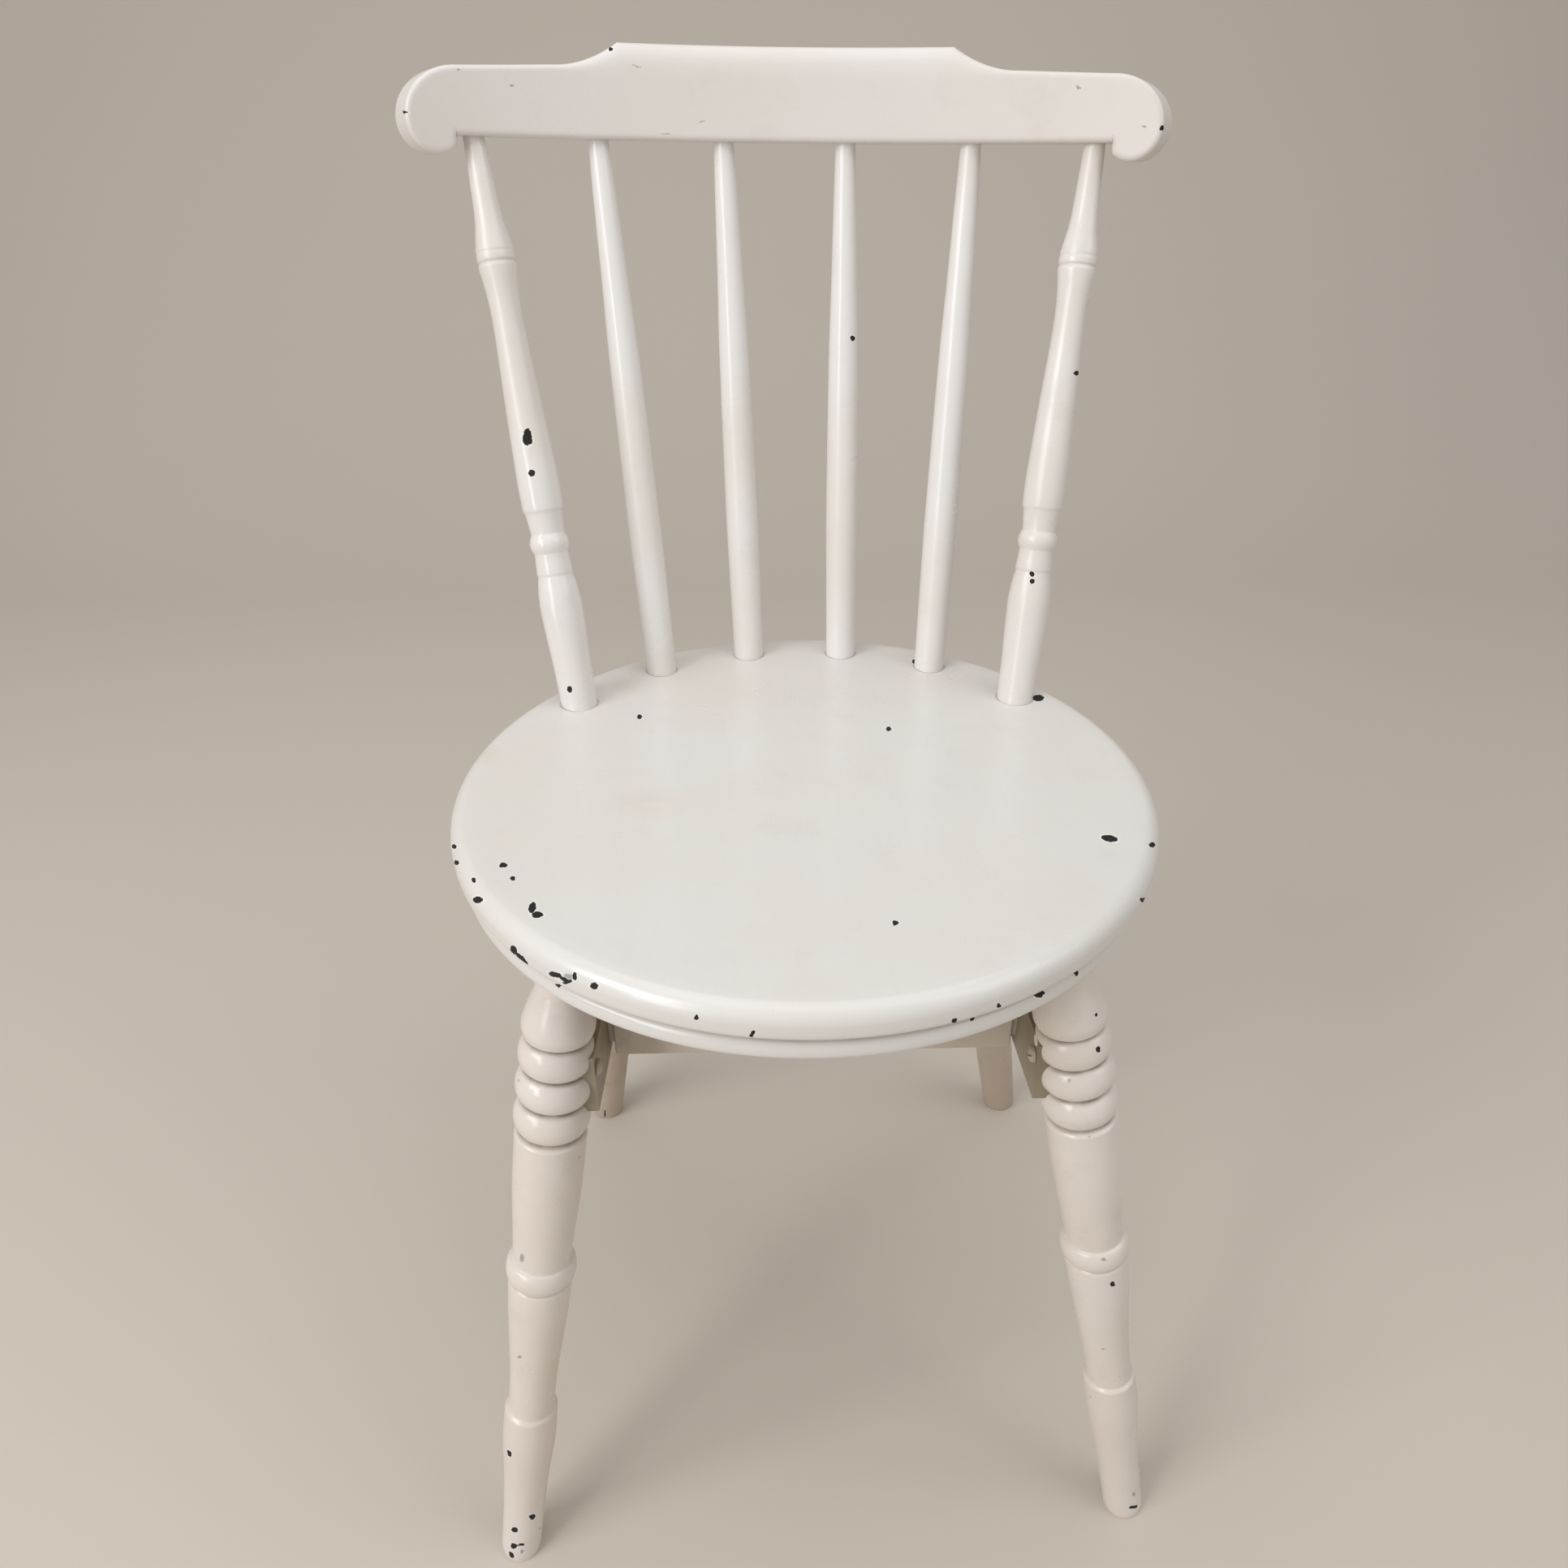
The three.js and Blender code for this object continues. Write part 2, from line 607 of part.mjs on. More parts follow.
function makeCrossRail(name, frames, y) {
  const place = new THREE.Matrix4();
  const board = barBetween(
    frames, y, CROSS_RAIL_THICKNESS, railBottom, CROSS_RAIL_HEIGHT, CROSS_RAIL_OPEN_JOINT);
  return new Piece(name, board, place, RAIL_COLOUR, 0.5).join(crossTenons(frames, y, 0), place);
}

/** Where a rail screw goes: on the rail's inner face, beside a leg, its head towards the middle. */
function screwMatrix(frame, atRear) {
  const spot = new THREE.Matrix4().makeTranslation(0, atRear ? frame.span : 0, SCREW_HEIGHT_ON_RAIL);
  const headInward = new THREE.Matrix4().makeRotationZ(frame.side * Math.PI / 2);
  return frame.matrix.clone().multiply(spot).multiply(headInward);
}

/** A round-head screw, its head's underside just clear of the rail, with a straight slot. */
function makeScrew(name, matrix) {
  const outline = new THREE.Path();
  outline.moveTo(0, -SCREW_LENGTH);
  outline.lineTo(SCREW_SHANK_DIAMETER / 2, -SCREW_LENGTH + SCREW_SHANK_DIAMETER);
  outline.lineTo(SCREW_SHANK_DIAMETER / 2, CLEARANCE);
  outline.lineTo(SCREW_HEAD_DIAMETER / 2, CLEARANCE);
  outline.quadraticCurveTo(SCREW_HEAD_DIAMETER / 2, SCREW_HEAD_HEIGHT, 0, SCREW_HEAD_HEIGHT + CLEARANCE);
  const turned = new THREE.LatheGeometry(outline.getPoints(CURVE_STEPS), SCREW_FACETS);
  const screw = new Piece(name, turned, matrix, RAIL_COLOUR, 0.5);
  const slot = new THREE.BoxGeometry(SCREW_HEAD_DIAMETER * 1.2, SCREW_SLOT_DEPTH * 2, SCREW_SLOT_WIDTH);
  slot.rotateY(radians(SCREW_SLOT_ANGLE)).translate(0, SCREW_HEAD_HEIGHT + CLEARANCE, 0);
  return screw.cut(slot, matrix);
}

/** The hole a rail screw passes through, and the pilot hole it ends in. */
function screwHole() {
  return socket(SCREW_SHANK_DIAMETER, SCREW_HEAD_DIAMETER, SCREW_LENGTH + CLEARANCE, SCREW_FACETS);
}

// The chair

function makeLegs() {
  const legs = [];
  for (const front of [true, false]) {
    for (const side of [-1, 1]) {
      const axis = legAxis(side, front);
      const name = `${front ? 'front' : 'rear'}_leg_${side < 0 ? 'left' : 'right'}`;
      const geometry = front ? frontLegGeometry(axis.length) : rearLegGeometry(axis.length);
      const piece = new Piece(name, geometry, axis.matrix, front ? PAINT_COLOUR : REAR_LEG_COLOUR, 0.4);
      legs.push({ front, side, axis, piece: piece.cut(underFloor(), new THREE.Matrix4()) });
    }
  }
  return legs;
}

function makeSticks() {
  const sticks = [];
  for (const side of [-1, 1]) {
    for (const rank of [0, 1, 2]) {
      const axis = stickAxis(side, rank);
      const where = side < 0 ? 'left' : 'right';
      const name = rank === 2 ? `back_post_${where}` : `spindle_${where}_${rank === 0 ? 'inner' : 'outer'}`;
      const geometry = rank === 2 ? postGeometry(axis.length) : spindleGeometry(axis.length);
      sticks.push({ side, rank, axis, piece: new Piece(name, geometry, axis.matrix, PAINT_COLOUR, 0.35) });
    }
  }
  return sticks;
}

/** The two side rails let into the legs, the cross rails between them, and the four screws. */
function makeRailFrame(legs) {
  const flat = new THREE.Matrix4();
  const pieces = [];
  const rails = [-1, 1].map((side) => {
    const [frontLeg, rearLeg] = legs.filter((leg) => leg.side === side);
    const frame = sideRailFrame(side, frontLeg.axis, rearLeg.axis);
    const name = `side_rail_${side < 0 ? 'left' : 'right'}`;
    const piece = new Piece(name, sideRailGeometry(frame, 0), frame.matrix, RAIL_COLOUR, 0.5);
    for (const leg of [frontLeg, rearLeg]) {
      const matrix = screwMatrix(frame, !leg.front);
      leg.piece.cut(sideRailGeometry(frame, CLEARANCE), frame.matrix).cut(screwHole(), matrix);
      piece.cut(screwHole(), matrix);
      const ending = `${leg.front ? 'front' : 'rear'}_${side < 0 ? 'left' : 'right'}`;
      pieces.push(makeScrew(`rail_screw_${ending}`, matrix));
    }
    return { frame, piece };
  });
  const frames = rails.map((rail) => rail.frame);
  const middle = CROSS_RAIL_FACE - CROSS_RAIL_THICKNESS / 2;
  for (const [name, y] of [['cross_rail_front', -middle], ['cross_rail_rear', middle]]) {
    pieces.push(makeCrossRail(name, frames, y));
    for (const rail of rails) {
      rail.piece.cut(crossTenons(frames, y, CLEARANCE), flat);
    }
  }
  return [...rails.map((rail) => rail.piece), ...pieces];
}

function makeChair() {
  const legs = makeLegs();
  const sticks = makeSticks();
  const railFrame = makeRailFrame(legs);
  const pieces = [
    makeSeat(legs, sticks),
    makeCrest(sticks),
    ...sticks.map((stick) => stick.piece),
    ...legs.map((leg) => leg.piece),
    ...railFrame,
  ];
  const chair = new THREE.Group();
  for (const piece of pieces) {
    chair.add(piece.mesh());
  }
  const middle = new THREE.Box3().setFromObject(chair, true).getCenter(new THREE.Vector3());
  chair.position.set(-middle.x, -middle.y, 0);
  const row = new THREE.Group();
  row.add(chair);
  row.updateMatrixWorld(true);
  return row;
}

export default makeChair();
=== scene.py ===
"""Looks for the old painted stick-back kitchen chair, built over its CAD frame."""

import logging
import math
from collections.abc import Callable, Sequence
from dataclasses import dataclass
from enum import Enum

import bmesh
import bpy
from mathutils import Matrix, Vector
from mathutils.bvhtree import BVHTree

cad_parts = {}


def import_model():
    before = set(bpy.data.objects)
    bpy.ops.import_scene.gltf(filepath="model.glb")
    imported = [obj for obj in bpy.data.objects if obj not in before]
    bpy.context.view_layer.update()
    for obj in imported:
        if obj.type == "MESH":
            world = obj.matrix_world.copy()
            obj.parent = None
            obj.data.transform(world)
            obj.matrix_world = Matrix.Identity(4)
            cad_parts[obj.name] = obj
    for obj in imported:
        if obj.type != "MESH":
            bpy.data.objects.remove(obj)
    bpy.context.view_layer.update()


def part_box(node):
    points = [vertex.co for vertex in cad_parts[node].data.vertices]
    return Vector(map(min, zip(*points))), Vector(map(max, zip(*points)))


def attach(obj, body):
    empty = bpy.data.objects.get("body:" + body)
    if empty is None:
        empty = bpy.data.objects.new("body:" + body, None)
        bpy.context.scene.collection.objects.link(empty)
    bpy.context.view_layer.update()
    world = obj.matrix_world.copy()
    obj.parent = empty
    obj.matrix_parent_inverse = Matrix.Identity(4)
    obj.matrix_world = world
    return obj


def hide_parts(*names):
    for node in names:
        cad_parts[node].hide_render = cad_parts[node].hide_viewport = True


log = logging.getLogger("chair")

MM = 0.001

# How close two points are, in metres, for them to be one
MERGE = 1e-6

BODY = "root"

# Sizes that several pieces share, in millimetres and degrees, as the CAD has them
SEAT_HEIGHT = 454.0
SEAT_RADIUS = 190.0
SEAT_THICKNESS = 31.5
SEAT_UNDERSIDE = SEAT_HEIGHT - SEAT_THICKNESS
LEG_TENON = 20.0
BACK_HEIGHT = 297.5
BACK_RECLINE = 8.1
STICK_INSET = 26.5
STICK_ANGLES = (10.8, 32.2, 55.5)
STICK_FOOT_RADII = (9.5, 9.5, 11.0)
STICK_SEAT_TENON = 18.0
STICK_CREST_TENON = 14.0
CREST_ARC_RADIUS = 400.0
CREST_LEAN = 4.5
CREST_STICK_PLACES = (34.7, 105.5, 173.6)
CREST_SHIFT = -4.5
CREST_DROP_ANGLE = 0.85
RACK_AT_FLOOR = 9.4
FRONT_LEG_SHIFT = 1.2
FRONT_FEET_TWIST = 8.0

Colour = tuple[float, float, float]
Pair = tuple[float, float]
DepthOf = dict[bmesh.types.BMVert, float]


def linear(red: int, green: int, blue: int) -> Colour:
    """Turn a colour read off the photo into the linear colour that a shader takes.

    Args:
        red: The red value, 0 to 255.
        green: The green value, 0 to 255.
        blue: The blue value, 0 to 255.

    Returns:
        The linear colour.
    """
    def channel(value: int) -> float:
        """Return one channel's linear value."""
        share = value / 255
        return share / 12.92 if share <= 0.04045 else ((share + 0.055) / 1.055) ** 2.4

    return channel(red), channel(green), channel(blue)


def clamp(value: float) -> float:
    """Return the value held between 0 and 1."""
    return min(1.0, max(0.0, value))


# The photograph's camera


@dataclass(frozen=True)
class PhotoView:
    """The camera that the photo was taken with, placed from the middle of the seat's top."""

    focal_px: float = 1428.493
    frame_px: float = 1932.0
    yaw: float = 0.0202542
    pitch: float = 0.5436638
    roll: float = 0.0045846
    offset: tuple[float, float, float] = (-21.793, -547.888, 326.638)
    sensor: float = 36.0

    def axes(self) -> tuple[Vector, Vector, Vector]:
        """Return the directions of the image's right, its bottom and the view.

        Returns:
            The three directions, each of length 1.
        """
        ahead = Vector((math.sin(self.yaw) * math.cos(self.pitch),
                        math.cos(self.yaw) * math.cos(self.pitch), -math.sin(self.pitch)))
        level = Vector((math.cos(self.yaw), -math.sin(self.yaw), 0))
        down = ahead.cross(level)
        right = math.cos(self.roll) * level + math.sin(self.roll) * down
        below = math.cos(self.roll) * down - math.sin(self.roll) * level
        return right, below, ahead

    def place(self, seat_middle: Vector) -> Vector:
        """Return the camera's place, in metres, from the middle of the seat's top."""
        return seat_middle + Vector(self.offset) * MM

    def ray(self, across: float, down: float) -> Vector:
        """Return the direction that a pixel of the photo looks in.

        Args:
            across: The pixel's place from the photo's left.
            down: Its place from the top.

        Returns:
            The direction, of length 1.
        """
        right, below, ahead = self.axes()
        middle = self.frame_px / 2
        return (ahead * self.focal_px + right * (across - middle) + below * (down - middle)).normalized()

    def make(self, seat_middle: Vector) -> bpy.types.Object:
        """Create the scene's camera.

        Args:
            seat_middle: The middle of the seat's top, in metres.

        Returns:
            The camera object.
        """
        data = bpy.data.cameras.new("photo_camera")
        data.sensor_width = self.sensor
        data.lens = self.focal_px / self.frame_px * self.sensor
        camera = bpy.data.objects.new("photo_camera", data)
        right, below, ahead = self.axes()
        turn = Matrix((right, -below, -ahead)).transposed().to_4x4()
        camera.matrix_world = Matrix.Translation(self.place(seat_middle)) @ turn
        bpy.context.scene.collection.objects.link(camera)
        bpy.context.scene.camera = camera
        return camera


VIEW = PhotoView()


# Marks in the paint


class MarkKind(Enum):
    """What a mark in the paint is."""

    CHIP = "chip"
    GREY = "grey"
    STAIN = "stain"
    CONTACT = "contact"


@dataclass(frozen=True)
class Mark:
    """A mark, by its pixel in the photo, half its width and height there, and its turn in degrees."""

    across: float
    down: float
    half_width: float
    half_height: float
    turn: float = 0.0
    kind: MarkKind = MarkKind.CHIP


@dataclass(frozen=True)
class PlacedMark:
    """A mark on a surface: its middle, and the rows that turn an offset into mark widths."""

    middle: Vector
    rows: tuple[Vector, Vector, Vector]
    kind: MarkKind


# How far a mark reaches into its piece, in millimetres
MARK_DEPTH = 4.0


def place_mark(mark: Mark, surface: BVHTree, eye: Vector) -> PlacedMark | None:
    """Cast a mark from the photo's camera onto a surface.

    Args:
        mark: The mark, in pixels.
        surface: The surface of the piece.
        eye: The camera's place.

    Returns:
        The mark on the surface, or nothing where the pixel misses the piece.
    """
    middle, normal, _, _ = surface.ray_cast(eye, VIEW.ray(mark.across, mark.down))
    if middle is None:
        log.warning("no surface under the mark at %.0f, %.0f", mark.across, mark.down)
        return None
    angle = math.radians(mark.turn)

    def edge(along: float, width: float) -> Vector:
        """Return how far the mark reaches on the surface in one direction.

        Args:
            along: The direction in the photo, in radians.
            width: The reach in the photo, in pixels.

        Returns:
            The offset from the mark's middle, in metres.
        """
        ray = VIEW.ray(mark.across + width * math.cos(along), mark.down + width * math.sin(along))
        reach = (middle - eye).dot(normal) / ray.dot(normal)
        return eye + ray * reach - middle

    basis = Matrix((edge(angle, mark.half_width), edge(angle + math.pi / 2, mark.half_height),
                    normal * MARK_DEPTH * MM)).transposed()
    inverse = basis.inverted()
    return PlacedMark(middle, (inverse[0].copy(), inverse[1].copy(), inverse[2].copy()), mark.kind)


def ring_mark(middle: Vector, radius: float, kind: MarkKind) -> PlacedMark:
    """Return a round mark of a radius in metres, the same from every side.

    Args:
        middle: The mark's middle, in metres.
        radius: Its radius, in metres.
        kind: What it is.

    Returns:
        The mark.
    """
    share = 1 / radius
    return PlacedMark(
        middle, (Vector((share, 0, 0)), Vector((0, share, 0)), Vector((0, 0, share))), kind)


# Shader nodes


class Shading:
    """A material's node tree, with short names for the nodes that the finishes use."""

    def __init__(self, tree: bpy.types.NodeTree) -> None:
        """Keep the tree that the nodes go into."""
        self.tree = tree

    def node(self, kind: str, **settings: object) -> bpy.types.Node:
        """Add a node of a kind and set its properties.

        Args:
            kind: The node's type.
            settings: Its properties by name.

        Returns:
            The node.
        """
        node = self.tree.nodes.new(kind)
        for name, value in settings.items():
            setattr(node, name, value)
        return node

    def feed(self, socket: bpy.types.NodeSocket, value: object) -> None:
        """Link a socket to another's output, or set its value.

        Args:
            socket: The input.
            value: An output, a number, a vector or a colour.
        """
        if isinstance(value, bpy.types.NodeSocket):
            self.tree.links.new(value, socket)
        elif isinstance(value, tuple) and len(value) == 3 and socket.type == "RGBA":
            socket.default_value = (*value, 1.0)
        else:
            socket.default_value = value

    def math(self, operation: str, first: object, second: object = 0.0) -> bpy.types.NodeSocket:
        """Return the result of a sum of two numbers.

        Args:
            operation: The sum's name.
            first: The first number.
            second: The second number.

        Returns:
            The result.
        """
        node = self.node("ShaderNodeMath", operation=operation)
        self.feed(node.inputs[0], first)
        self.feed(node.inputs[1], second)
        return node.outputs[0]

    def vector(self, operation: str, first: object, second: object = (0.0, 0.0, 0.0)) -> bpy.types.Node:
        """Return a vector sum's node.

        Args:
            operation: The sum's name.
            first: The first vector.
            second: The second vector.

        Returns:
            The node, because sums differ in their outputs.
        """
        node = self.node("ShaderNodeVectorMath", operation=operation)
        self.feed(node.inputs[0], first)
        self.feed(node.inputs[1], second)
        return node

    def step(self, value: object, limits: Pair, results: Pair = (0.0, 1.0)) -> bpy.types.NodeSocket:
        """Return a smooth step from one result to another between two limits.

        Args:
            value: The value that is looked at.
            limits: Where the step starts and ends.
            results: The result before the step and after it.

        Returns:
            The result.
        """
        node = self.node("ShaderNodeMapRange", interpolation_type="SMOOTHSTEP")
        names = ("Value", "From Min", "From Max", "To Min", "To Max")
        for name, number in zip(names, (value, *limits, *results)):
            self.feed(node.inputs[name], number)
        return node.outputs["Result"]

    def mix(self, share: object, first: object, second: object) -> bpy.types.NodeSocket:
        """Return one colour mixed into another.

        Args:
            share: How much of the second colour shows.
            first: The first colour.
            second: The second colour.

        Returns:
            The mixed colour.
        """
        node = self.node("ShaderNodeMix", data_type="RGBA")
        self.feed(node.inputs["Factor"], share)
        self.feed(node.inputs[6], first)
        self.feed(node.inputs[7], second)
        return node.outputs[2]

    def noise(self, place: object, scale: float, detail: float = 3.0,
              stretch: tuple[float, float, float] | None = None, roughness: float = 0.5) -> bpy.types.Node:
        """Return a noise texture, stretched along the axes if asked.

        Args:
            place: Where the noise is read.
            scale: How fine it is.
            detail: How many finer layers it has.
            stretch: How the place is scaled along each axis.
            roughness: How strong the finer layers are.

        Returns:
            The noise's node.
        """
        if stretch:
            mapping = self.node("ShaderNodeMapping")
            self.feed(mapping.inputs["Vector"], place)
            self.feed(mapping.inputs["Scale"], stretch)
            place = mapping.outputs[0]
        node = self.node("ShaderNodeTexNoise")
        self.feed(node.inputs["Vector"], place)
        self.feed(node.inputs["Scale"], scale)
        self.feed(node.inputs["Detail"], detail)
        self.feed(node.inputs["Roughness"], roughness)
        return node

    def bump(self, height: object, distance: float, strength: float = 1.0,
             normal: bpy.types.NodeSocket | None = None) -> bpy.types.NodeSocket:
        """Return the normal that a height of a distance in metres gives.

        Args:
            height: The height, from 0 to 1.
            distance: What a height of 1 stands for, in metres.
            strength: How strongly it shows.
            normal: The normal that it is laid over.

        Returns:
            The new normal.
        """
        node = self.node("ShaderNodeBump")
        self.feed(node.inputs["Strength"], strength)
        self.feed(node.inputs["Distance"], distance)
        self.feed(node.inputs["Height"], height)
        if normal:
            self.feed(node.inputs["Normal"], normal)
        return node.outputs[0]


MARK_ROWS = ("Across", "Along", "Through")


def mark_group() -> bpy.types.NodeTree:
    """Return the node group that gives the distance to a mark, in mark widths.

    Returns:
        The node group, made once.
    """
    name = "mark_distance"
    if name in bpy.data.node_groups:
        return bpy.data.node_groups[name]
    group = bpy.data.node_groups.new(name, "ShaderNodeTree")
    for socket in ("Position", "Middle", *MARK_ROWS):
        group.interface.new_socket(socket, in_out="INPUT", socket_type="NodeSocketVector")
    group.interface.new_socket("Distance", in_out="OUTPUT", socket_type="NodeSocketFloat")
    shade = Shading(group)
    source = shade.node("NodeGroupInput")
    target = shade.node("NodeGroupOutput")
    offset = shade.vector("SUBTRACT", source.outputs["Position"], source.outputs["Middle"]).outputs[0]
    together = shade.node("ShaderNodeCombineXYZ")
    for index, row in enumerate(MARK_ROWS):
        share = shade.vector("DOT_PRODUCT", offset, source.outputs[row]).outputs["Value"]
        shade.feed(together.inputs[index], share)
    length = shade.vector("LENGTH", together.outputs[0]).outputs["Value"]
    shade.feed(target.inputs[0], length)
    return group


SPECK = linear(120, 112, 104)
STAINED = linear(196, 180, 140)
JOINT_DIRT = linear(118, 104, 90)
SCUFF = linear(128, 124, 122)
CHIP_EDGE = linear(242, 240, 237)
DARK_WOOD = linear(12, 9, 8)
WORN_WOOD = linear(52, 36, 26)


@dataclass(frozen=True)
class CoatDetail:
    """The fine detail that all the paint shares.

    The scales are those of noises, and the heights are in metres. The limits are where a smooth step
    starts and ends, on a noise from 0 to 1 or in mark widths from a mark's middle.
    """

    ragged_scale: float = 420.0
    ragged_reach: float = 0.0028
    patch_scale: float = 9.0
    yellow_limits: Pair = (0.36, 0.72)
    shine_limits: Pair = (0.3, 0.7)
    streak_limits: Pair = (0.52, 0.78)
    streak_share: float = 0.22
    streak_shade: float = 0.93
    fine_brush: float = 2.6
    fine_share: float = 0.35
    dust_scale: float = 34.0
    dust_limits: Pair = (0.52, 0.75)
    dust_rough: float = 0.12
    broken_scale: float = 130.0
    broken_limits: Pair = (0.25, 0.7)
    broken_least: float = 0.45
    grime_rough: float = 0.3
    speck_scale: float = 150.0
    speck_limits: Pair = (0.1, 0.16)
    speck_share: float = 0.5
    stain_limits: Pair = (0.2, 1.1)
    stain_share: float = 0.16
    joint_limits: Pair = (1.0, 1.16)
    joint_share: float = 0.75
    scuff_limits: Pair = (0.6, 1.15)
    scuff_share: float = 0.7
    chip_limits: Pair = (0.96, 1.08)
    chip_rough: float = 0.5
    chip_slope: Pair = (0.8, 1.12)
    chip_height: float = 0.00028
    edge_start: Pair = (1.0, 1.1)
    edge_end: Pair = (1.16, 1.5)
    edge_share: float = 0.6
    wood_scale: float = 900.0
    wood_limits: Pair = (0.5, 0.8)
    brush_height: float = 0.000022
    peel_scale: float = 95.0
    peel_height: float = 0.00016
    peel_strength: float = 0.28
    paint_ior: float = 1.5


DETAIL = CoatDetail()


@dataclass
class Coat:
    """A coat of paint as it is built up: its colour, its roughness and the height of its chips."""

    colour: bpy.types.NodeSocket
    rough: bpy.types.NodeSocket
    height: bpy.types.NodeSocket | None = None


@dataclass(frozen=True)
class Places:
    """Where a finish reads its patterns: the true place, a ragged one, and how broken the dirt and the
    grooves' painted shade are.
    """

    true: bpy.types.NodeSocket
    ragged: bpy.types.NodeSocket
    broken: bpy.types.NodeSocket


@dataclass(frozen=True)
class GlossPaint:
    """Old gloss oil paint over wood: its colours, its shine and how it was brushed."""

    name: str
    colour: Colour
    yellowed: Colour
    # The colour of dust and of the grooves' darkening, which is dirt and painted shade together
    grime: Colour = linear(132, 112, 94)
    yellowing: float = 0.6
    shine: Pair = (0.16, 0.34)
    brush: tuple[float, float, float] = (1.0, 1.0, 0.06)
    brush_scale: float = 520.0
    specks: float = 0.0
    dirt: float = 0.12

    @staticmethod
    def places(shade: Shading) -> Places:
        """Make the places that the patterns and marks are read at.

        Args:
            shade: The material's nodes.

        Returns:
            The places.
        """
        place = shade.node("ShaderNodeTexCoord").outputs["Object"]
        noise = shade.noise(place, DETAIL.ragged_scale, 5.0, None, 0.68).outputs["Color"]
        wander = shade.vector("SUBTRACT", noise, (0.5, 0.5, 0.5)).outputs[0]
        shift = shade.vector("MULTIPLY", wander, (DETAIL.ragged_reach,) * 3).outputs[0]
        ragged = shade.vector("ADD", place, shift).outputs[0]
        patchy = shade.noise(place, DETAIL.broken_scale, 4.0).outputs["Fac"]
        broken = shade.step(patchy, DETAIL.broken_limits, (DETAIL.broken_least, 1.0))
        return Places(place, ragged, broken)

    @staticmethod
    def nearest(shade: Shading, place: bpy.types.NodeSocket, marks: Sequence[PlacedMark],
                kind: MarkKind) -> bpy.types.NodeSocket | None:
        """Return the distance to the nearest mark of a kind, in mark widths.

        Args:
            shade: The material's nodes.
            place: Where the distance is read.
            marks: All the marks on the piece.
            kind: The kind that counts.

        Returns:
            The distance, or nothing where there is no such mark.
        """
        distance = None
        for mark in marks:
            if mark.kind is not kind:
                continue
            node = shade.node("ShaderNodeGroup", node_tree=mark_group())
            shade.feed(node.inputs["Position"], place)
            shade.feed(node.inputs["Middle"], tuple(mark.middle))
            for row, name in zip(mark.rows, MARK_ROWS):
                shade.feed(node.inputs[name], tuple(row))
            found = node.outputs[0]
            distance = found if distance is None else shade.math("MINIMUM", distance, found)
        return distance

    def base(self, shade: Shading, place: bpy.types.NodeSocket, streaks: bpy.types.NodeSocket) -> Coat:
        """Make the brushed, yellowing and dusty coat, still without the grooves' darkening and the marks.

        Args:
            shade: The material's nodes.
            place: Where the patterns are read.
            streaks: The brush marks.

        Returns:
            The coat.
        """
        patches = shade.noise(place, DETAIL.patch_scale, 4.0).outputs["Fac"]
        yellow = shade.math("MULTIPLY", shade.step(patches, DETAIL.yellow_limits), self.yellowing)
        colour = shade.mix(yellow, self.colour, self.yellowed)
        darker = tuple(value * DETAIL.streak_shade for value in self.colour)
        streaky = shade.step(streaks, DETAIL.streak_limits, (0.0, DETAIL.streak_share))
        colour = shade.mix(streaky, colour, darker)
        # Dust patches darken towards the dirt colour; on the rear legs and the rails, with a heavy dust
        # share, they are painted shade as well as dust
        cloud = shade.noise(place, DETAIL.dust_scale, 6.0, None, 0.7).outputs["Fac"]
        dust = shade.step(cloud, DETAIL.dust_limits)
        colour = shade.mix(shade.math("MULTIPLY", dust, self.dirt), colour, self.grime)
        rough = shade.step(patches, DETAIL.shine_limits, self.shine)
        rough = shade.math("ADD", rough, shade.math("MULTIPLY", dust, DETAIL.dust_rough))
        return Coat(colour, rough)

    def darken_grooves(self, shade: Shading, places: Places, coat: Coat) -> None:
        """Darken the grooves with dirt and painted shade together.

        Args:
            shade: The material's nodes.
            places: Where the patterns are read.
            coat: The coat, changed here.
        """
        grime = shade.node("ShaderNodeAttribute", attribute_name="grime").outputs["Fac"]
        darkened = shade.math("MULTIPLY", grime, places.broken)
        coat.colour = shade.mix(darkened, coat.colour, self.grime)
        coat.rough = shade.math("ADD", coat.rough, shade.math("MULTIPLY", darkened, DETAIL.grime_rough))

    def speckle(self, shade: Shading, places: Places, coat: Coat) -> None:
        """Scatter small grey specks.

        Args:
            shade: The material's nodes.
            places: Where the patterns are read.
            coat: The coat, changed here.
        """
        cells = shade.node("ShaderNodeTexVoronoi")
        shade.feed(cells.inputs["Vector"], places.ragged)
        shade.feed(cells.inputs["Scale"], DETAIL.speck_scale)
        chance = shade.node("ShaderNodeSeparateColor")
        shade.feed(chance.inputs[0], cells.outputs["Color"])
        rare = 1.0 - self.specks
        few = shade.step(chance.outputs[0], (rare, rare + 0.01))
        dot = shade.step(cells.outputs["Distance"], DETAIL.speck_limits, (1.0, 0.0))
        share = shade.math("MULTIPLY", shade.math("MULTIPLY", few, dot), DETAIL.speck_share)
        coat.colour = shade.mix(share, coat.colour, SPECK)

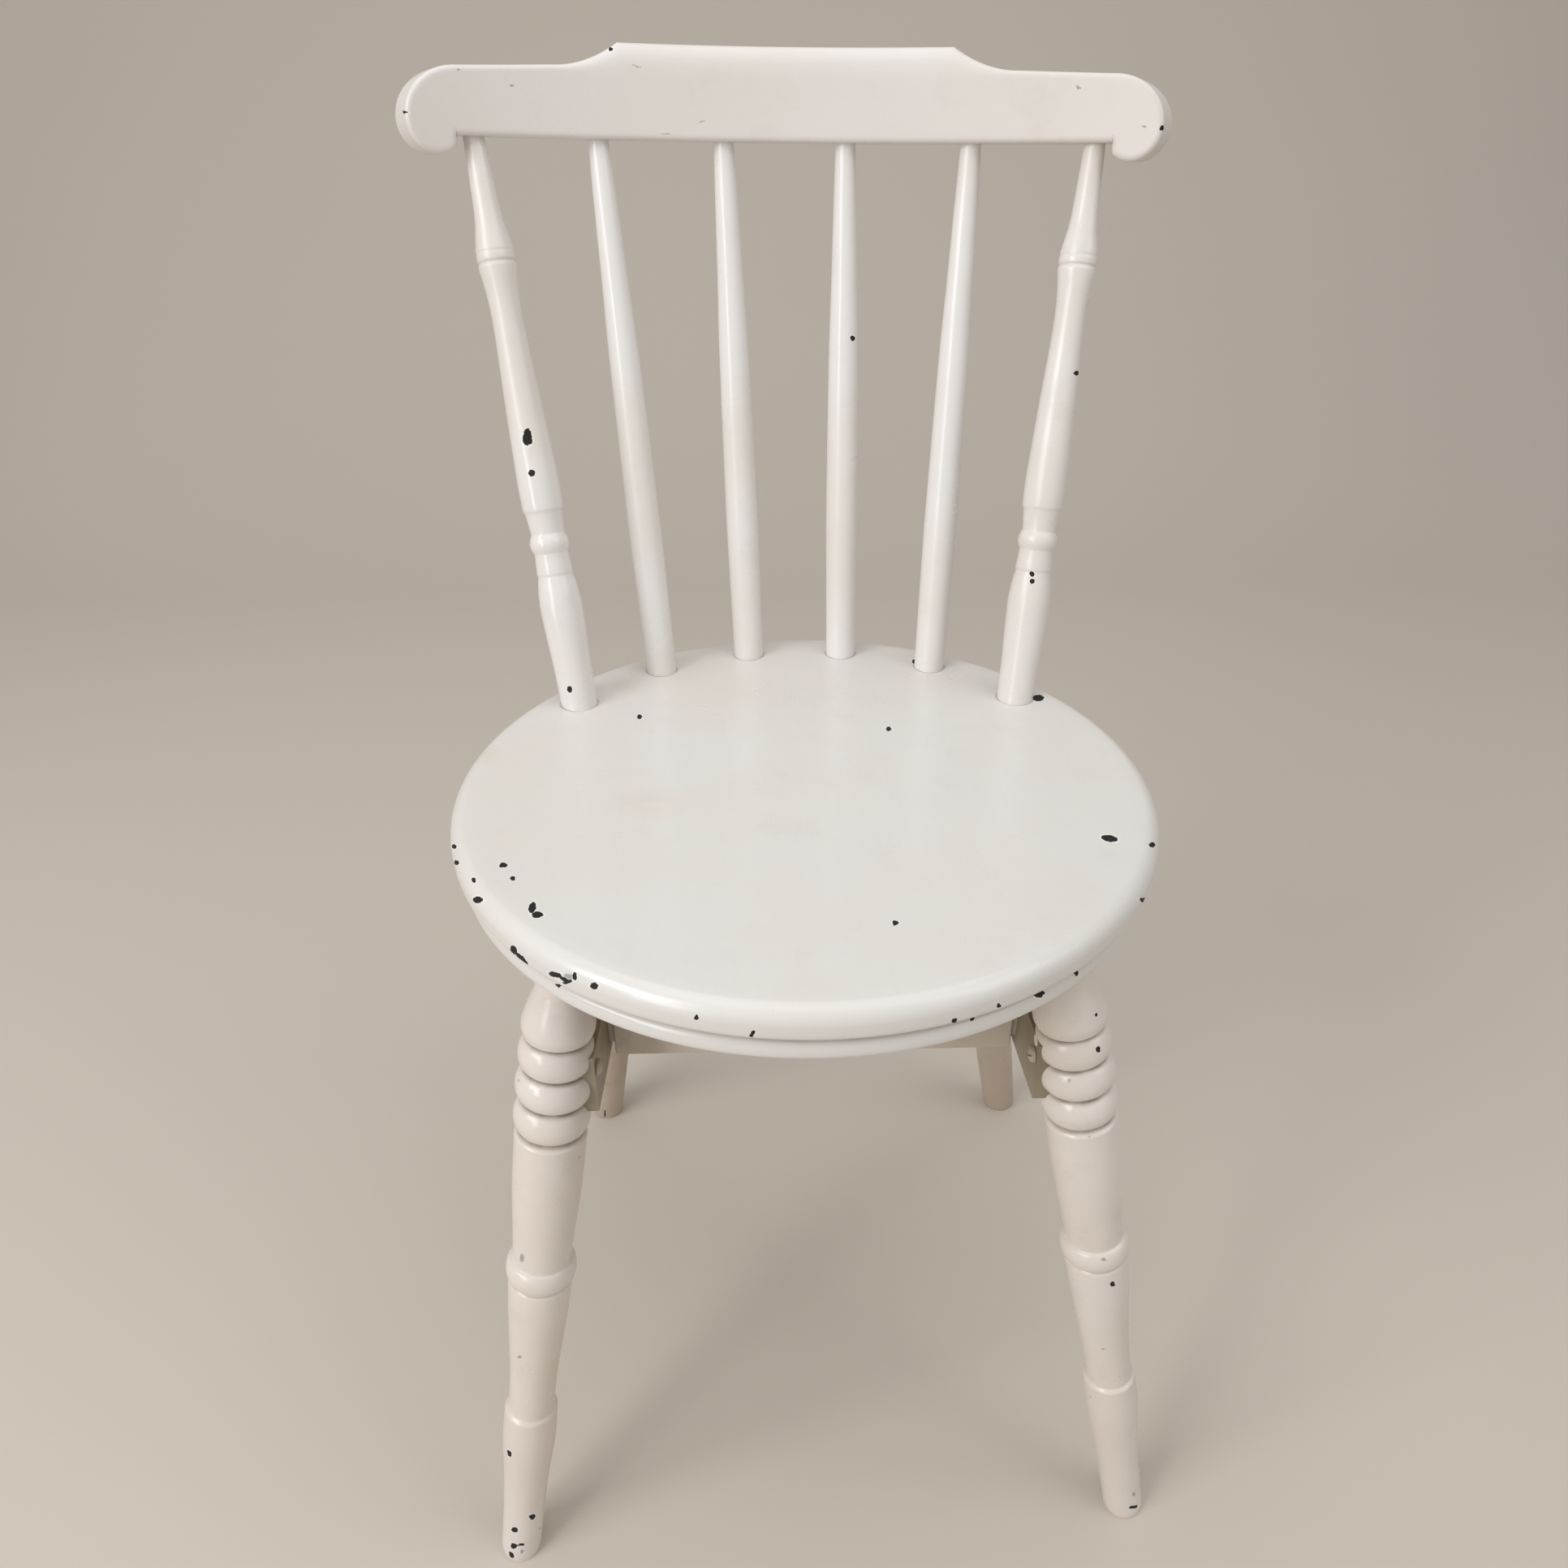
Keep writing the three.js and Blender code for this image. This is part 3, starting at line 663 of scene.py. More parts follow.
    def stain(self, shade: Shading, places: Places, marks: Sequence[PlacedMark], coat: Coat) -> None:
        """Lay the stains, the dirt lines at the joints and the grey scuffs.

        Args:
            shade: The material's nodes.
            places: Where the patterns are read.
            marks: All the marks on the piece.
            coat: The coat, changed here.
        """
        stain = self.nearest(shade, places.ragged, marks, MarkKind.STAIN)
        if stain:
            soft = shade.step(stain, DETAIL.stain_limits, (DETAIL.stain_share, 0.0))
            coat.colour = shade.mix(shade.math("MULTIPLY", soft, places.broken), coat.colour, STAINED)
        contact = self.nearest(shade, places.true, marks, MarkKind.CONTACT)
        if contact:
            line = shade.step(contact, DETAIL.joint_limits, (DETAIL.joint_share, 0.0))
            coat.colour = shade.mix(shade.math("MULTIPLY", line, places.broken), coat.colour, JOINT_DIRT)
        grey = self.nearest(shade, places.ragged, marks, MarkKind.GREY)
        if grey:
            scuff = shade.step(grey, DETAIL.scuff_limits, (DETAIL.scuff_share, 0.0))
            coat.colour = shade.mix(scuff, coat.colour, SCUFF)

    def chip(self, shade: Shading, places: Places, marks: Sequence[PlacedMark], coat: Coat) -> None:
        """Chip the coat through to dark wood, with a pale broken edge.

        Args:
            shade: The material's nodes.
            places: Where the patterns are read.
            marks: All the marks on the piece.
            coat: The coat, changed here.
        """
        chip = self.nearest(shade, places.ragged, marks, MarkKind.CHIP)
        if not chip:
            return
        fade = shade.step(chip, DETAIL.edge_end, (DETAIL.edge_share, 0.0))
        edge = shade.math("MULTIPLY", shade.step(chip, DETAIL.edge_start), fade)
        coat.colour = shade.mix(edge, coat.colour, CHIP_EDGE)
        grain = shade.noise(places.true, DETAIL.wood_scale, 3.0).outputs["Fac"]
        wood = shade.mix(shade.step(grain, DETAIL.wood_limits), DARK_WOOD, WORN_WOOD)
        core = shade.step(chip, DETAIL.chip_limits, (1.0, 0.0))
        coat.colour = shade.mix(core, coat.colour, wood)
        coat.rough = shade.math("ADD", coat.rough, shade.math("MULTIPLY", core, DETAIL.chip_rough))
        coat.height = shade.step(chip, DETAIL.chip_slope)

    def build(self, marks: Sequence[PlacedMark] = ()) -> bpy.types.Material:
        """Make the material.

        Args:
            marks: The chips, grey spots, stains and joint lines on the piece.

        Returns:
            The finished material.
        """
        material = bpy.data.materials.new(self.name)
        material.use_nodes = True
        shade = Shading(material.node_tree)
        shader = material.node_tree.nodes["Principled BSDF"]
        places = self.places(shade)
        streaks = shade.noise(places.true, self.brush_scale, 3.0, self.brush, 0.6).outputs["Fac"]
        fine_scale = self.brush_scale * DETAIL.fine_brush
        fine = shade.noise(places.true, fine_scale, 2.0, self.brush, 0.6).outputs["Fac"]

        coat = self.base(shade, places.true, streaks)
        self.darken_grooves(shade, places, coat)
        if self.specks:
            self.speckle(shade, places, coat)
        self.stain(shade, places, marks, coat)
        self.chip(shade, places, marks, coat)

        shade.feed(shader.inputs["Base Color"], coat.colour)
        shade.feed(shader.inputs["Roughness"], coat.rough)
        shader.inputs["IOR"].default_value = DETAIL.paint_ior
        brushed = shade.math("ADD", streaks, shade.math("MULTIPLY", fine, DETAIL.fine_share))
        normal = shade.bump(brushed, DETAIL.brush_height)
        peel = shade.noise(places.true, DETAIL.peel_scale, 2.0).outputs["Fac"]
        normal = shade.bump(peel, DETAIL.peel_height, DETAIL.peel_strength, normal)
        if coat.height:
            normal = shade.bump(coat.height, DETAIL.chip_height, 1.0, normal)
        shade.feed(shader.inputs["Normal"], normal)
        return material


# Turned outlines


class Outline:
    """The outline of a turned piece, from its top down, as (radius, height) pairs in millimetres."""

    spacing = 0.35
    sweep_gap = 1.5
    cove_steps = 14
    bulge_steps = 22
    least_bend = 0.06
    longest_gap = 6.0

    def __init__(self, length: float, pattern: float, top_diameter: float, tenon: float) -> None:
        """Start the outline with the tenon at the top.

        Args:
            length: The length of the piece below its tenon.
            pattern: The length of the pattern that the places are given on.
            top_diameter: The diameter at the top.
            tenon: How far the tenon stands up from there.
        """
        self.stretch = length / pattern
        radius = top_diameter / 2
        self.points: list[Pair] = [(0.0, tenon), (radius - 0.5, tenon), (radius, tenon - 1), (radius, 0.0)]

    def point(self, place: float, diameter: float) -> Pair:
        """Return the outline's point at a place on the pattern."""
        return diameter / 2, -place * self.stretch

    def line(self, place: float, diameter: float) -> "Outline":
        """Run straight to a place and diameter."""
        self.points.append(self.point(place, diameter))
        return self

    def sweep(self, *pairs: Pair) -> "Outline":
        """Run smoothly through several places and diameters.

        Args:
            pairs: The places and diameters.

        Returns:
            The outline itself.
        """
        through = [self.points[-1], *(self.point(*pair) for pair in pairs)]
        last = len(through) - 1
        for index in range(last):
            knots = [through[max(index - 1, 0)], through[index], through[index + 1],
                     through[min(index + 2, last)]]
            steps = max(4, int(abs(knots[2][1] - knots[1][1]) / self.sweep_gap))
            for step in range(1, steps + 1):
                share = step / steps
                self.points.append((self.passing(share, [knot[0] for knot in knots]),
                                    self.passing(share, [knot[1] for knot in knots])))
        return self

    @staticmethod
    def passing(share: float, knots: Sequence[float]) -> float:
        """Return the value of a curve that passes through the middle two of four knots.

        Args:
            share: How far along it is from the second knot to the third, from 0 to 1.
            knots: The four knots.

        Returns:
            The value.
        """
        before, start, end, after = knots
        leave = (end - before) / 2
        arrive = (after - start) / 2
        cubic = (2 * start - 2 * end + leave + arrive) * share ** 3
        square = (-3 * start + 3 * end - 2 * leave - arrive) * share ** 2
        return cubic + square + leave * share + start

    def round(self, place: float, diameter: float, middle: float) -> "Outline":
        """Run in a swelling or a cove to a place and diameter, through a third diameter halfway.

        Args:
            place: Where it ends.
            diameter: The diameter there.
            middle: The diameter halfway.

        Returns:
            The outline itself.
        """
        start = self.points[-1]
        end = self.point(place, diameter)
        control = (middle - (start[0] + end[0]) / 2, (start[1] + end[1]) / 2)
        for step in range(1, self.cove_steps + 1):
            share = step / self.cove_steps
            weights = ((1 - share) ** 2, 2 * share * (1 - share), share ** 2)
            self.points.append(tuple(
                sum(weight * knot[axis] for weight, knot in zip(weights, (start, control, end)))
                for axis in (0, 1)))
        return self

    def bulge(self, place: float, diameter: float, middle: float) -> "Outline":
        """Run in half an ellipse to a place and diameter, standing out to a third one halfway.

        Args:
            place: Where it ends.
            diameter: The diameter there.
            middle: The diameter halfway.

        Returns:
            The outline itself.
        """
        start = self.points[-1]
        end = self.point(place, diameter)
        stand = middle / 2 - (start[0] + end[0]) / 2
        for step in range(1, self.bulge_steps + 1):
            angle = math.pi * step / self.bulge_steps
            share = (1 - math.cos(angle)) / 2
            self.points.append((start[0] + (end[0] - start[0]) * share + stand * math.sin(angle),
                                start[1] + (end[1] - start[1]) * share))
        return self

    def softened(self, passes: int = 3) -> list[Pair]:
        """Return the outline, its corners softened as paint does and its straight stretches thinned out.

        Args:
            passes: How often the corners are softened.

        Returns:
            The outline's points.
        """
        points = [Vector(point) for point in self.points]
        points.append(Vector((0.0, points[-1].y)))
        even = [points[0]]
        for start, end in zip(points, points[1:]):
            count = max(1, round((end - start).length / self.spacing))
            even.extend(start.lerp(end, step / count) for step in range(1, count + 1))
        for _ in range(passes):
            smooth = [(before + 2 * here + after) / 4
                      for before, here, after in zip(even, even[1:], even[2:])]
            even = [even[0], *smooth, even[-1]]
        kept = [even[0]]
        for here, after in zip(even[1:], even[2:]):
            bend = (here - kept[-1]).angle(after - here, 0.0)
            if bend > self.least_bend or (here - kept[-1]).length > self.longest_gap:
                kept.append(here)
        kept.append(even[-1])
        return [(point.x, point.y) for point in kept]


# Darkening in grooves, dirt and painted shade together: the most there is, the depth in millimetres
# that it starts at, the further depth that it is full at, how far away a neighbour counts, and how
# finely heights are told apart
GROOVE_DARK_MOST = 0.7
GROOVE_DARK_START = 0.25
GROOVE_DARK_RUN = 2.2
GROOVE_DARK_REACH = 4.5
GROOVE_DARK_STEPS_PER_MM = 20


def groove_darkening(points: Sequence[Pair]) -> Callable[[float], float]:
    """Work out the grooves' dirt and painted shade, from how far the outline lies below its neighbours.

    Args:
        points: The outline.

    Returns:
        A function from a height on the outline to the amount of darkening there.
    """
    side = [point for point in points if point[0] > 1.0]
    table = []
    for radius, height in side:
        above = max((other[0] for other in side if 0 <= other[1] - height <= GROOVE_DARK_REACH), default=radius)
        below = max((other[0] for other in side if 0 <= height - other[1] <= GROOVE_DARK_REACH), default=radius)
        depth = min(above, below) - radius
        table.append((height, GROOVE_DARK_MOST * clamp((depth - GROOVE_DARK_START) / GROOVE_DARK_RUN)))

    def at(height: float) -> float:
        """Return the darkening at a height."""
        return min(table, key=lambda entry: abs(entry[0] - height))[1]

    return at


def turned_mesh(points: Sequence[Pair], segments: int) -> bmesh.types.BMesh:
    """Spin an outline round the upright axis into a closed body, in metres.

    Args:
        points: The outline, in millimetres.
        segments: How many facets go round.

    Returns:
        The body, with the darkening amounts of its grooves.
    """
    mesh = bmesh.new()
    verts = [mesh.verts.new((radius * MM, 0, height * MM)) for radius, height in points]
    edges = [mesh.edges.new(pair) for pair in zip(verts, verts[1:])]
    bmesh.ops.spin(mesh, geom=[*verts, *edges], cent=(0, 0, 0), axis=(0, 0, 1), dvec=(0, 0, 0),
                   angle=math.tau, steps=segments, use_merge=True)
    bmesh.ops.remove_doubles(mesh, verts=mesh.verts, dist=MERGE)
    bmesh.ops.recalc_face_normals(mesh, faces=mesh.faces)
    layer = mesh.verts.layers.float.new("grime")
    grime = groove_darkening(points)
    known: dict[int, float] = {}
    for vert in mesh.verts:
        key = round(vert.co.z / MM * GROOVE_DARK_STEPS_PER_MM)
        if key not in known:
            known[key] = grime(vert.co.z / MM)
        vert[layer] = known[key]
    return mesh


def add_piece(name: str, mesh: bmesh.types.BMesh, nodes: Sequence[str],
              crease: float = 42.0) -> bpy.types.Object:
    """Turn a body into a piece that stands for CAD nodes.

    Args:
        name: The piece's name.
        mesh: The body, used up here.
        nodes: The CAD nodes that it stands for.
        crease: The angle in degrees above which an edge shows as a crease.

    Returns:
        The piece.
    """
    for edge in mesh.edges:
        edge.smooth = edge.calc_face_angle(0.0) < math.radians(crease)
    for face in mesh.faces:
        face.smooth = True
    data = bpy.data.meshes.new(name)
    mesh.to_mesh(data)
    mesh.free()
    piece = bpy.data.objects.new(name, data)
    bpy.context.scene.collection.objects.link(piece)
    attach(piece, BODY)
    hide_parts(*nodes)
    log.info("%s: %d faces", name, len(data.polygons))
    return piece


def close_cut(mesh: bmesh.types.BMesh) -> None:
    """Close a body where a plane has cut it open."""
    rim = [edge for edge in mesh.edges if edge.is_boundary]
    bmesh.ops.holes_fill(mesh, edges=rim, sides=0)


def surface_of(piece: bpy.types.Object) -> BVHTree:
    """Return a piece's surface, for casting marks onto it.

    Args:
        piece: The piece.

    Returns:
        Its surface.
    """
    body = bmesh.new()
    body.from_mesh(piece.data)
    tree = BVHTree.FromBMesh(body)
    body.free()
    return tree


@dataclass(frozen=True)
class Site:
    """Where the chair stands: the middle of the seat's top, and the camera, in metres."""

    seat_middle: Vector
    eye: Vector

    def at(self, point: Vector) -> Vector:
        """Return a point given in millimetres from under the middle of the seat, in metres."""
        return Vector((self.seat_middle.x, self.seat_middle.y, 0)) + point * MM

    def dress(self, piece: bpy.types.Object, paint: GlossPaint, marks: Sequence[Mark] = (),
              more: Sequence[PlacedMark] = ()) -> None:
        """Give a piece its paint with the marks that the photo shows on it.

        Args:
            piece: The piece.
            paint: Its paint.
            marks: The marks on it, by their pixels.
            more: Marks that already have their place.
        """
        surface = surface_of(piece) if marks else None
        placed = [place_mark(mark, surface, self.eye) for mark in marks]
        found = [mark for mark in placed if mark]
        piece.data.materials.append(paint.build([*found, *more]))


@dataclass(frozen=True)
class TurnedPiece:
    """A turned piece on an axis from its top to its foot, both in millimetres."""

    name: str
    slot: str
    top: Vector
    foot: Vector
    outline: Callable[[float], Outline]
    segments: int = 64
    trimmed: bool = False

    def build(self, site: Site) -> bpy.types.Object:
        """Turn the piece and put it in its place.

        Args:
            site: Where the chair stands.

        Returns:
            The piece.
        """
        length = (self.top - self.foot).length
        mesh = turned_mesh(self.outline(length).softened(), self.segments)
        direction = (self.top - self.foot).normalized()
        turn = Vector((0, 0, 1)).rotation_difference(direction).to_matrix().to_4x4()
        bmesh.ops.transform(mesh, matrix=Matrix.Translation(site.at(self.top)) @ turn, verts=mesh.verts)
        if self.trimmed:
            geometry = [*mesh.verts, *mesh.edges, *mesh.faces]
            bmesh.ops.bisect_plane(mesh, geom=geometry, plane_co=(0, 0, 0), plane_no=(0, 0, -1),
                                   clear_outer=True)
            close_cut(mesh)
            bmesh.ops.recalc_face_normals(mesh, faces=mesh.faces)
        return add_piece(f"{self.name}_painted", mesh, [self.name])


# Finishes

SEAT_PAINT = GlossPaint(
    "seat_paint", linear(222, 219, 214), linear(219, 213, 203), brush=(1.0, 0.05, 1.0),
    brush_scale=300.0, yellowing=0.5, shine=(0.17, 0.3), dirt=0.05)
CREST_PAINT = GlossPaint(
    "crest_paint", linear(224, 219, 214), linear(217, 208, 198), brush=(0.05, 1.0, 1.0),
    yellowing=0.5, dirt=0.06, shine=(0.26, 0.42))
POST_PAINT = GlossPaint("post_paint", linear(228, 224, 219), linear(217, 207, 195), dirt=0.08)
SPINDLE_PAINT = GlossPaint("spindle_paint", linear(232, 229, 226), linear(222, 214, 203), dirt=0.06)
FRONT_LEG_PAINT = GlossPaint(
    "front_leg_paint", linear(226, 217, 209), linear(215, 202, 190), specks=0.05, dirt=0.1,
    shine=(0.14, 0.28))
# Painted shade: the rear legs' brown-beige colours and heavy dust are darker than the front legs' to stand
# for the shade under the seat
REAR_LEG_PAINT = GlossPaint(
    "rear_leg_paint", linear(190, 175, 158), linear(168, 148, 126), specks=0.06, dirt=0.3,
    shine=(0.3, 0.5))
# Partly painted shade: the cross rails' beige, darker than the legs, is dirt and also the shade under the
# seat
RAIL_PAINT = GlossPaint(
    "rail_paint", linear(206, 196, 181), linear(190, 176, 158), brush=(1.0, 0.06, 1.0), dirt=0.3,
    shine=(0.35, 0.6), specks=0.05)
# Painted shade: the side rails' dark brown colours and very heavy dust stand for the deep shade under the
# seat, darker still than the cross rails
SIDE_RAIL_PAINT = GlossPaint(
    "side_rail_paint", linear(152, 141, 120), linear(116, 99, 76), brush=(1.0, 0.06, 1.0), dirt=0.6,
    shine=(0.35, 0.6), specks=0.08)
SCREW_PAINT = GlossPaint(
    "screw_paint", linear(190, 178, 162), linear(170, 150, 126), brush=(1.0, 1.0, 1.0), dirt=0.4,
    shine=(0.3, 0.5))


# Marks that the photo shows, by piece

GREY = MarkKind.GREY
STAIN = MarkKind.STAIN
MARKS: dict[str, tuple[Mark, ...]] = {
    "back_post_left": (
        Mark(650, 533, 4, 5), Mark(650, 541, 6, 8), Mark(655, 583, 4, 4), Mark(702, 849, 3, 4),
        Mark(738, 857, 4, 3, 0, GREY)),
    "spindle_right_inner": (Mark(1051, 417, 3, 3),),
    "back_post_right": (Mark(1272, 707, 3, 3), Mark(1272, 716, 3, 3), Mark(1327, 460, 3, 3)),
    "seat": (
        Mark(1133, 818, 10, 4, 25), Mark(1279, 860, 7, 4), Mark(1367, 1033, 10, 4, 10),
        Mark(1095, 898, 3, 3), Mark(1103, 1137, 4, 3), Mark(788, 883, 3, 3), Mark(1420, 1041, 4, 3),
        Mark(1409, 1109, 4, 3), Mark(620, 1066, 5, 3), Mark(632, 1082, 3, 3),
        Mark(656, 1118, 4, 7, 20), Mark(662, 1127, 7, 4), Mark(588, 1109, 6, 4), Mark(584, 1084, 3, 3),
        Mark(559, 1043, 3, 3), Mark(562, 1063, 3, 3), Mark(633, 1171, 4, 6, -20),
        Mark(643, 1182, 10, 3, 45), Mark(684, 1201, 8, 3.4, 12), Mark(694, 1206, 6, 2.4, 25),
        Mark(708, 1203, 2.6, 5), Mark(699, 1210, 6, 2.4, -15), Mark(700, 1204, 7, 5, 0, GREY),
        Mark(688, 1214, 4, 2.2, 30), Mark(732, 1215, 5, 4),
        Mark(858, 1254, 3, 3), Mark(927, 1274, 2.6, 5, 30), Mark(1176, 1258, 3, 3), Mark(1198, 1255, 3, 3),
        Mark(1231, 1239, 3, 3), Mark(1280, 1224, 7, 5), Mark(1326, 1199, 3, 3),
        Mark(795, 990, 60, 24, 0, STAIN), Mark(600, 930, 20, 16, 0, STAIN),
        Mark(770, 845, 24, 10, 0, STAIN)),
    "front_leg_left": (
        Mark(627.5, 1791, 2.4, 4.2, -20), Mark(656, 1869, 4, 3, -30), Mark(634, 1885, 4.2, 3),
        Mark(633, 1905, 3.8, 3.2), Mark(643, 1903, 3.4, 1.6), Mark(638, 1904, 4, 0.8),
        Mark(630, 1916, 2.6, 4.6, -35), Mark(643, 1912, 2.6, 2.8, 0, GREY),
        Mark(643, 1550, 3, 6, 0, GREY), Mark(640, 1672, 3, 2, 0, GREY)),
    "rear_leg_left": (Mark(745.5, 1372, 1.0, 5),),
    "front_leg_right": (
        Mark(1353, 1293, 3, 4), Mark(1351, 1250, 2, 2), Mark(1342, 1356, 2, 3, 0, GREY),
        Mark(1360, 1552, 4, 2, 0, GREY), Mark(1371, 1582, 3, 3), Mark(1397, 1857, 5, 2, -10),
        Mark(1397, 1841, 2, 3, 0, GREY)),
    "crest_rail": (
        Mark(752, 60, 2.4, 2.2), Mark(498, 138, 1.7, 1.7), Mark(631, 106, 3, 2, 0, GREY),
        Mark(1432, 158, 2, 3), Mark(1329, 108, 4, 2, 30, GREY), Mark(1410, 156, 3, 2, 0, GREY),
        Mark(784, 81, 7, 0.9, 20, GREY), Mark(820, 165, 6, 0.8, 0, GREY),
        Mark(865, 150, 5, 0.8, -10, GREY), Mark(565, 86, 2.6, 1.4, 0, GREY)),
}


# Parts of the chair


@dataclass(frozen=True)
class Seat:
    """The round turned seat, with a bead under its edge, in millimetres."""

    bead_height: float = 10.0
    bead_inset: float = 3.5
    bead_flat: float = 6.0
    groove: float = 3.6
    groove_width: float = 1.2
    nose_round: float = 9.0
    top_ease: float = 14.0
    bend_steps: int = 12
    nose_steps: int = 16
    segments: int = 160

    def outline(self) -> list[Pair]:
        """Return the seat's outline, from the middle of its underside out, up and back to the middle.

        Returns:
            The outline's points.
        """
        bead = SEAT_RADIUS - self.bead_inset
        groove = bead - self.groove
        low = -SEAT_THICKNESS
        high = low + self.bead_height
        ledge = high + self.groove_width
        # The seat has no tenon, so its own points take the place of the outline's first ones
        outline = Outline(1, 1, 1, 1)
        outline.points = [(0.0, low), (bead - self.bead_flat, low)]

        def quarter(control: Pair, end: Pair) -> None:
            """Run in a quarter turn to a point, bending towards a control point.

            Args:
                control: The point that it bends towards.
                end: The point that it ends at.
            """
            start = outline.points[-1]
            for step in range(1, self.bend_steps + 1):
                share = step / self.bend_steps
                weights = ((1 - share) ** 2, 2 * share * (1 - share), share ** 2)
                knots = (start, control, end)
                outline.points.append((sum(w * k[0] for w, k in zip(weights, knots)),
                                       sum(w * k[1] for w, k in zip(weights, knots))))

        quarter((bead, low), (bead, low + self.bead_height / 2))
        quarter((bead, high), (groove + 0.5, high + 0.2))
        outline.points.extend([(groove, high + 0.6), (groove, ledge + 1.8)])
        quarter((groove + 0.4, ledge + 3.2), (SEAT_RADIUS - 1.6, ledge + 4.2))
        quarter((SEAT_RADIUS, ledge + 4.8), (SEAT_RADIUS, ledge + 7.8))
        outline.points.append((SEAT_RADIUS, -self.nose_round))
        for step in range(1, self.nose_steps + 1):
            angle = math.pi / 2 * step / self.nose_steps
            outline.points.append((SEAT_RADIUS - self.nose_round * (1 - math.cos(angle)),
                                   -self.nose_round * (1 - math.sin(angle))))
        outline.points.extend([(SEAT_RADIUS - self.top_ease, 0.0), (0.0, 0.0)])
        return outline.softened(2)

    def build(self, site: Site, stick_feet: Sequence[tuple[Vector, float]]) -> bpy.types.Object:
        """Make the seat.

        Args:
            site: Where the chair stands.
            stick_feet: Where each stick meets the seat, in millimetres, and its radius there.

        Returns:
            The seat.
        """
        mesh = turned_mesh(self.outline(), self.segments)
        lift = Matrix.Translation(site.at(Vector((0, 0, SEAT_HEIGHT))))
        bmesh.ops.transform(mesh, matrix=lift, verts=mesh.verts)
        piece = add_piece("seat_painted", mesh, ["seat"])
        rings = [ring_mark(site.at(foot), radius * MM, MarkKind.CONTACT) for foot, radius in stick_feet]
        site.dress(piece, SEAT_PAINT, MARKS["seat"], rings)
        return piece


def front_leg(length: float) -> Outline:
    """Return the front leg's outline: a neck, four balls, a taper, a collar, a taper and a tulip.

    Args:
        length: The leg's length below its tenon, in millimetres.

    Returns:
        The outline.
    """
    return (
        Outline(length, 432, 26, LEG_TENON)
        .line(18, 25.8)
        .sweep((27, 31.6), (35, 36), (40, 36.8), (44, 34.6))
        .round(46.4, 27.5, 32.6)
        .bulge(65, 27.5, 38.4)
        .bulge(84, 28, 39.6)
        .bulge(103, 29, 39.6)
        .round(107, 37.4, 36)
        .sweep((140, 36.6), (170, 33.4), (191, 31.6))
        .bulge(205, 32, 38.2)
        .round(207.5, 35, 34.4)
        .sweep((227, 33.6), (250, 30.6), (280, 26.9), (306, 26.3))
        .round(309, 30.2, 29.6)
        .sweep((333, 30.8), (358, 27.6), (384, 25.3), (425, 24.2))
        .round(437, 18, 23))


def rear_leg(length: float) -> Outline:
    """Return the rear leg's outline: a plain taper, fullest a third of the way down.

    Args:
        length: The leg's length below its tenon, in millimetres.

    Returns:
        The outline.
    """
    return (
        Outline(length, 434, 27, LEG_TENON)
        .sweep((60, 31.8), (150, 33.4), (250, 32.8), (343, 30.4), (427, 26.4))
        .round(439, 18, 25))


def back_post(length: float) -> Outline:
    """Return the post's outline: a flare with two grooves, a swell, a bead between necks, a foot.

    Args:
        length: The post's length between the crest rail and the seat, in millimetres.

    Returns:
        The outline.
    """
    end = 310 * (length + STICK_SEAT_TENON) / length
    return (
        Outline(length, 310, 11.4, STICK_CREST_TENON)
        .sweep((21, 13), (40, 15.2), (51, 19.2), (56, 21))
        .line(57, 20.4).line(58, 21.2).line(61, 21.3).line(62, 19.6).line(64, 21.3)
        .sweep((72, 19), (84, 17.2), (102, 17.6), (136, 20.8), (180, 24.2))
        .line(194, 23.8).line(196, 21.8).line(208, 19.4)
        .round(219, 19.8, 23.2)
        .line(230.6, 21.6).line(232, 20.6)
        .sweep((237, 22.8), (249, 25.2), (265, 24.6), (286, 22.8))
        .line(310, 22).line(end - 1, 22).line(end, 20))


def spindle(length: float) -> Outline:
    """Return the spindle's outline: a plain stick that swells gently towards the seat.

    Args:
        length: The spindle's length between the crest rail and the seat, in millimetres.

    Returns:
        The outline.
    """
    end = 300 * (length + STICK_SEAT_TENON) / length
    return (
        Outline(length, 300, 11.4, STICK_CREST_TENON)
        .sweep((29, 13.2), (72, 15.4), (116, 17.9), (213, 20.2))
        .line(300, 19).line(end - 1, 19).line(end, 17))


@dataclass(frozen=True)
class LegPlan:
    """Where a leg meets the seat's underside and how far it splays, in millimetres and degrees."""

    inset: float
    angle: float
    out: float
    along: float
    front: bool

    def ends(self, side: int) -> tuple[Vector, Vector]:
        """Return the leg's top and foot points on one side.

        Args:
            side: -1 on the left and 1 on the right.

        Returns:
            The top and the foot.
        """
        radius = SEAT_RADIUS - self.inset
        angle = math.radians(self.angle)
        way = -1 if self.front else 1
        shift = FRONT_LEG_SHIFT if self.front else 0.0
        crept = side * FRONT_FEET_TWIST if self.front else 0.0
        top = Vector((side * radius * math.sin(angle) + shift, way * radius * math.cos(angle),
                      SEAT_UNDERSIDE))
        foot = Vector((top.x + side * self.out + RACK_AT_FLOOR, top.y + way * self.along + crept, 0))
        return top, foot


FRONT_LEG = LegPlan(inset=26, angle=47.3, out=70.4, along=50.3, front=True)
REAR_LEG = LegPlan(inset=37, angle=45, out=66.7, along=82.8, front=False)


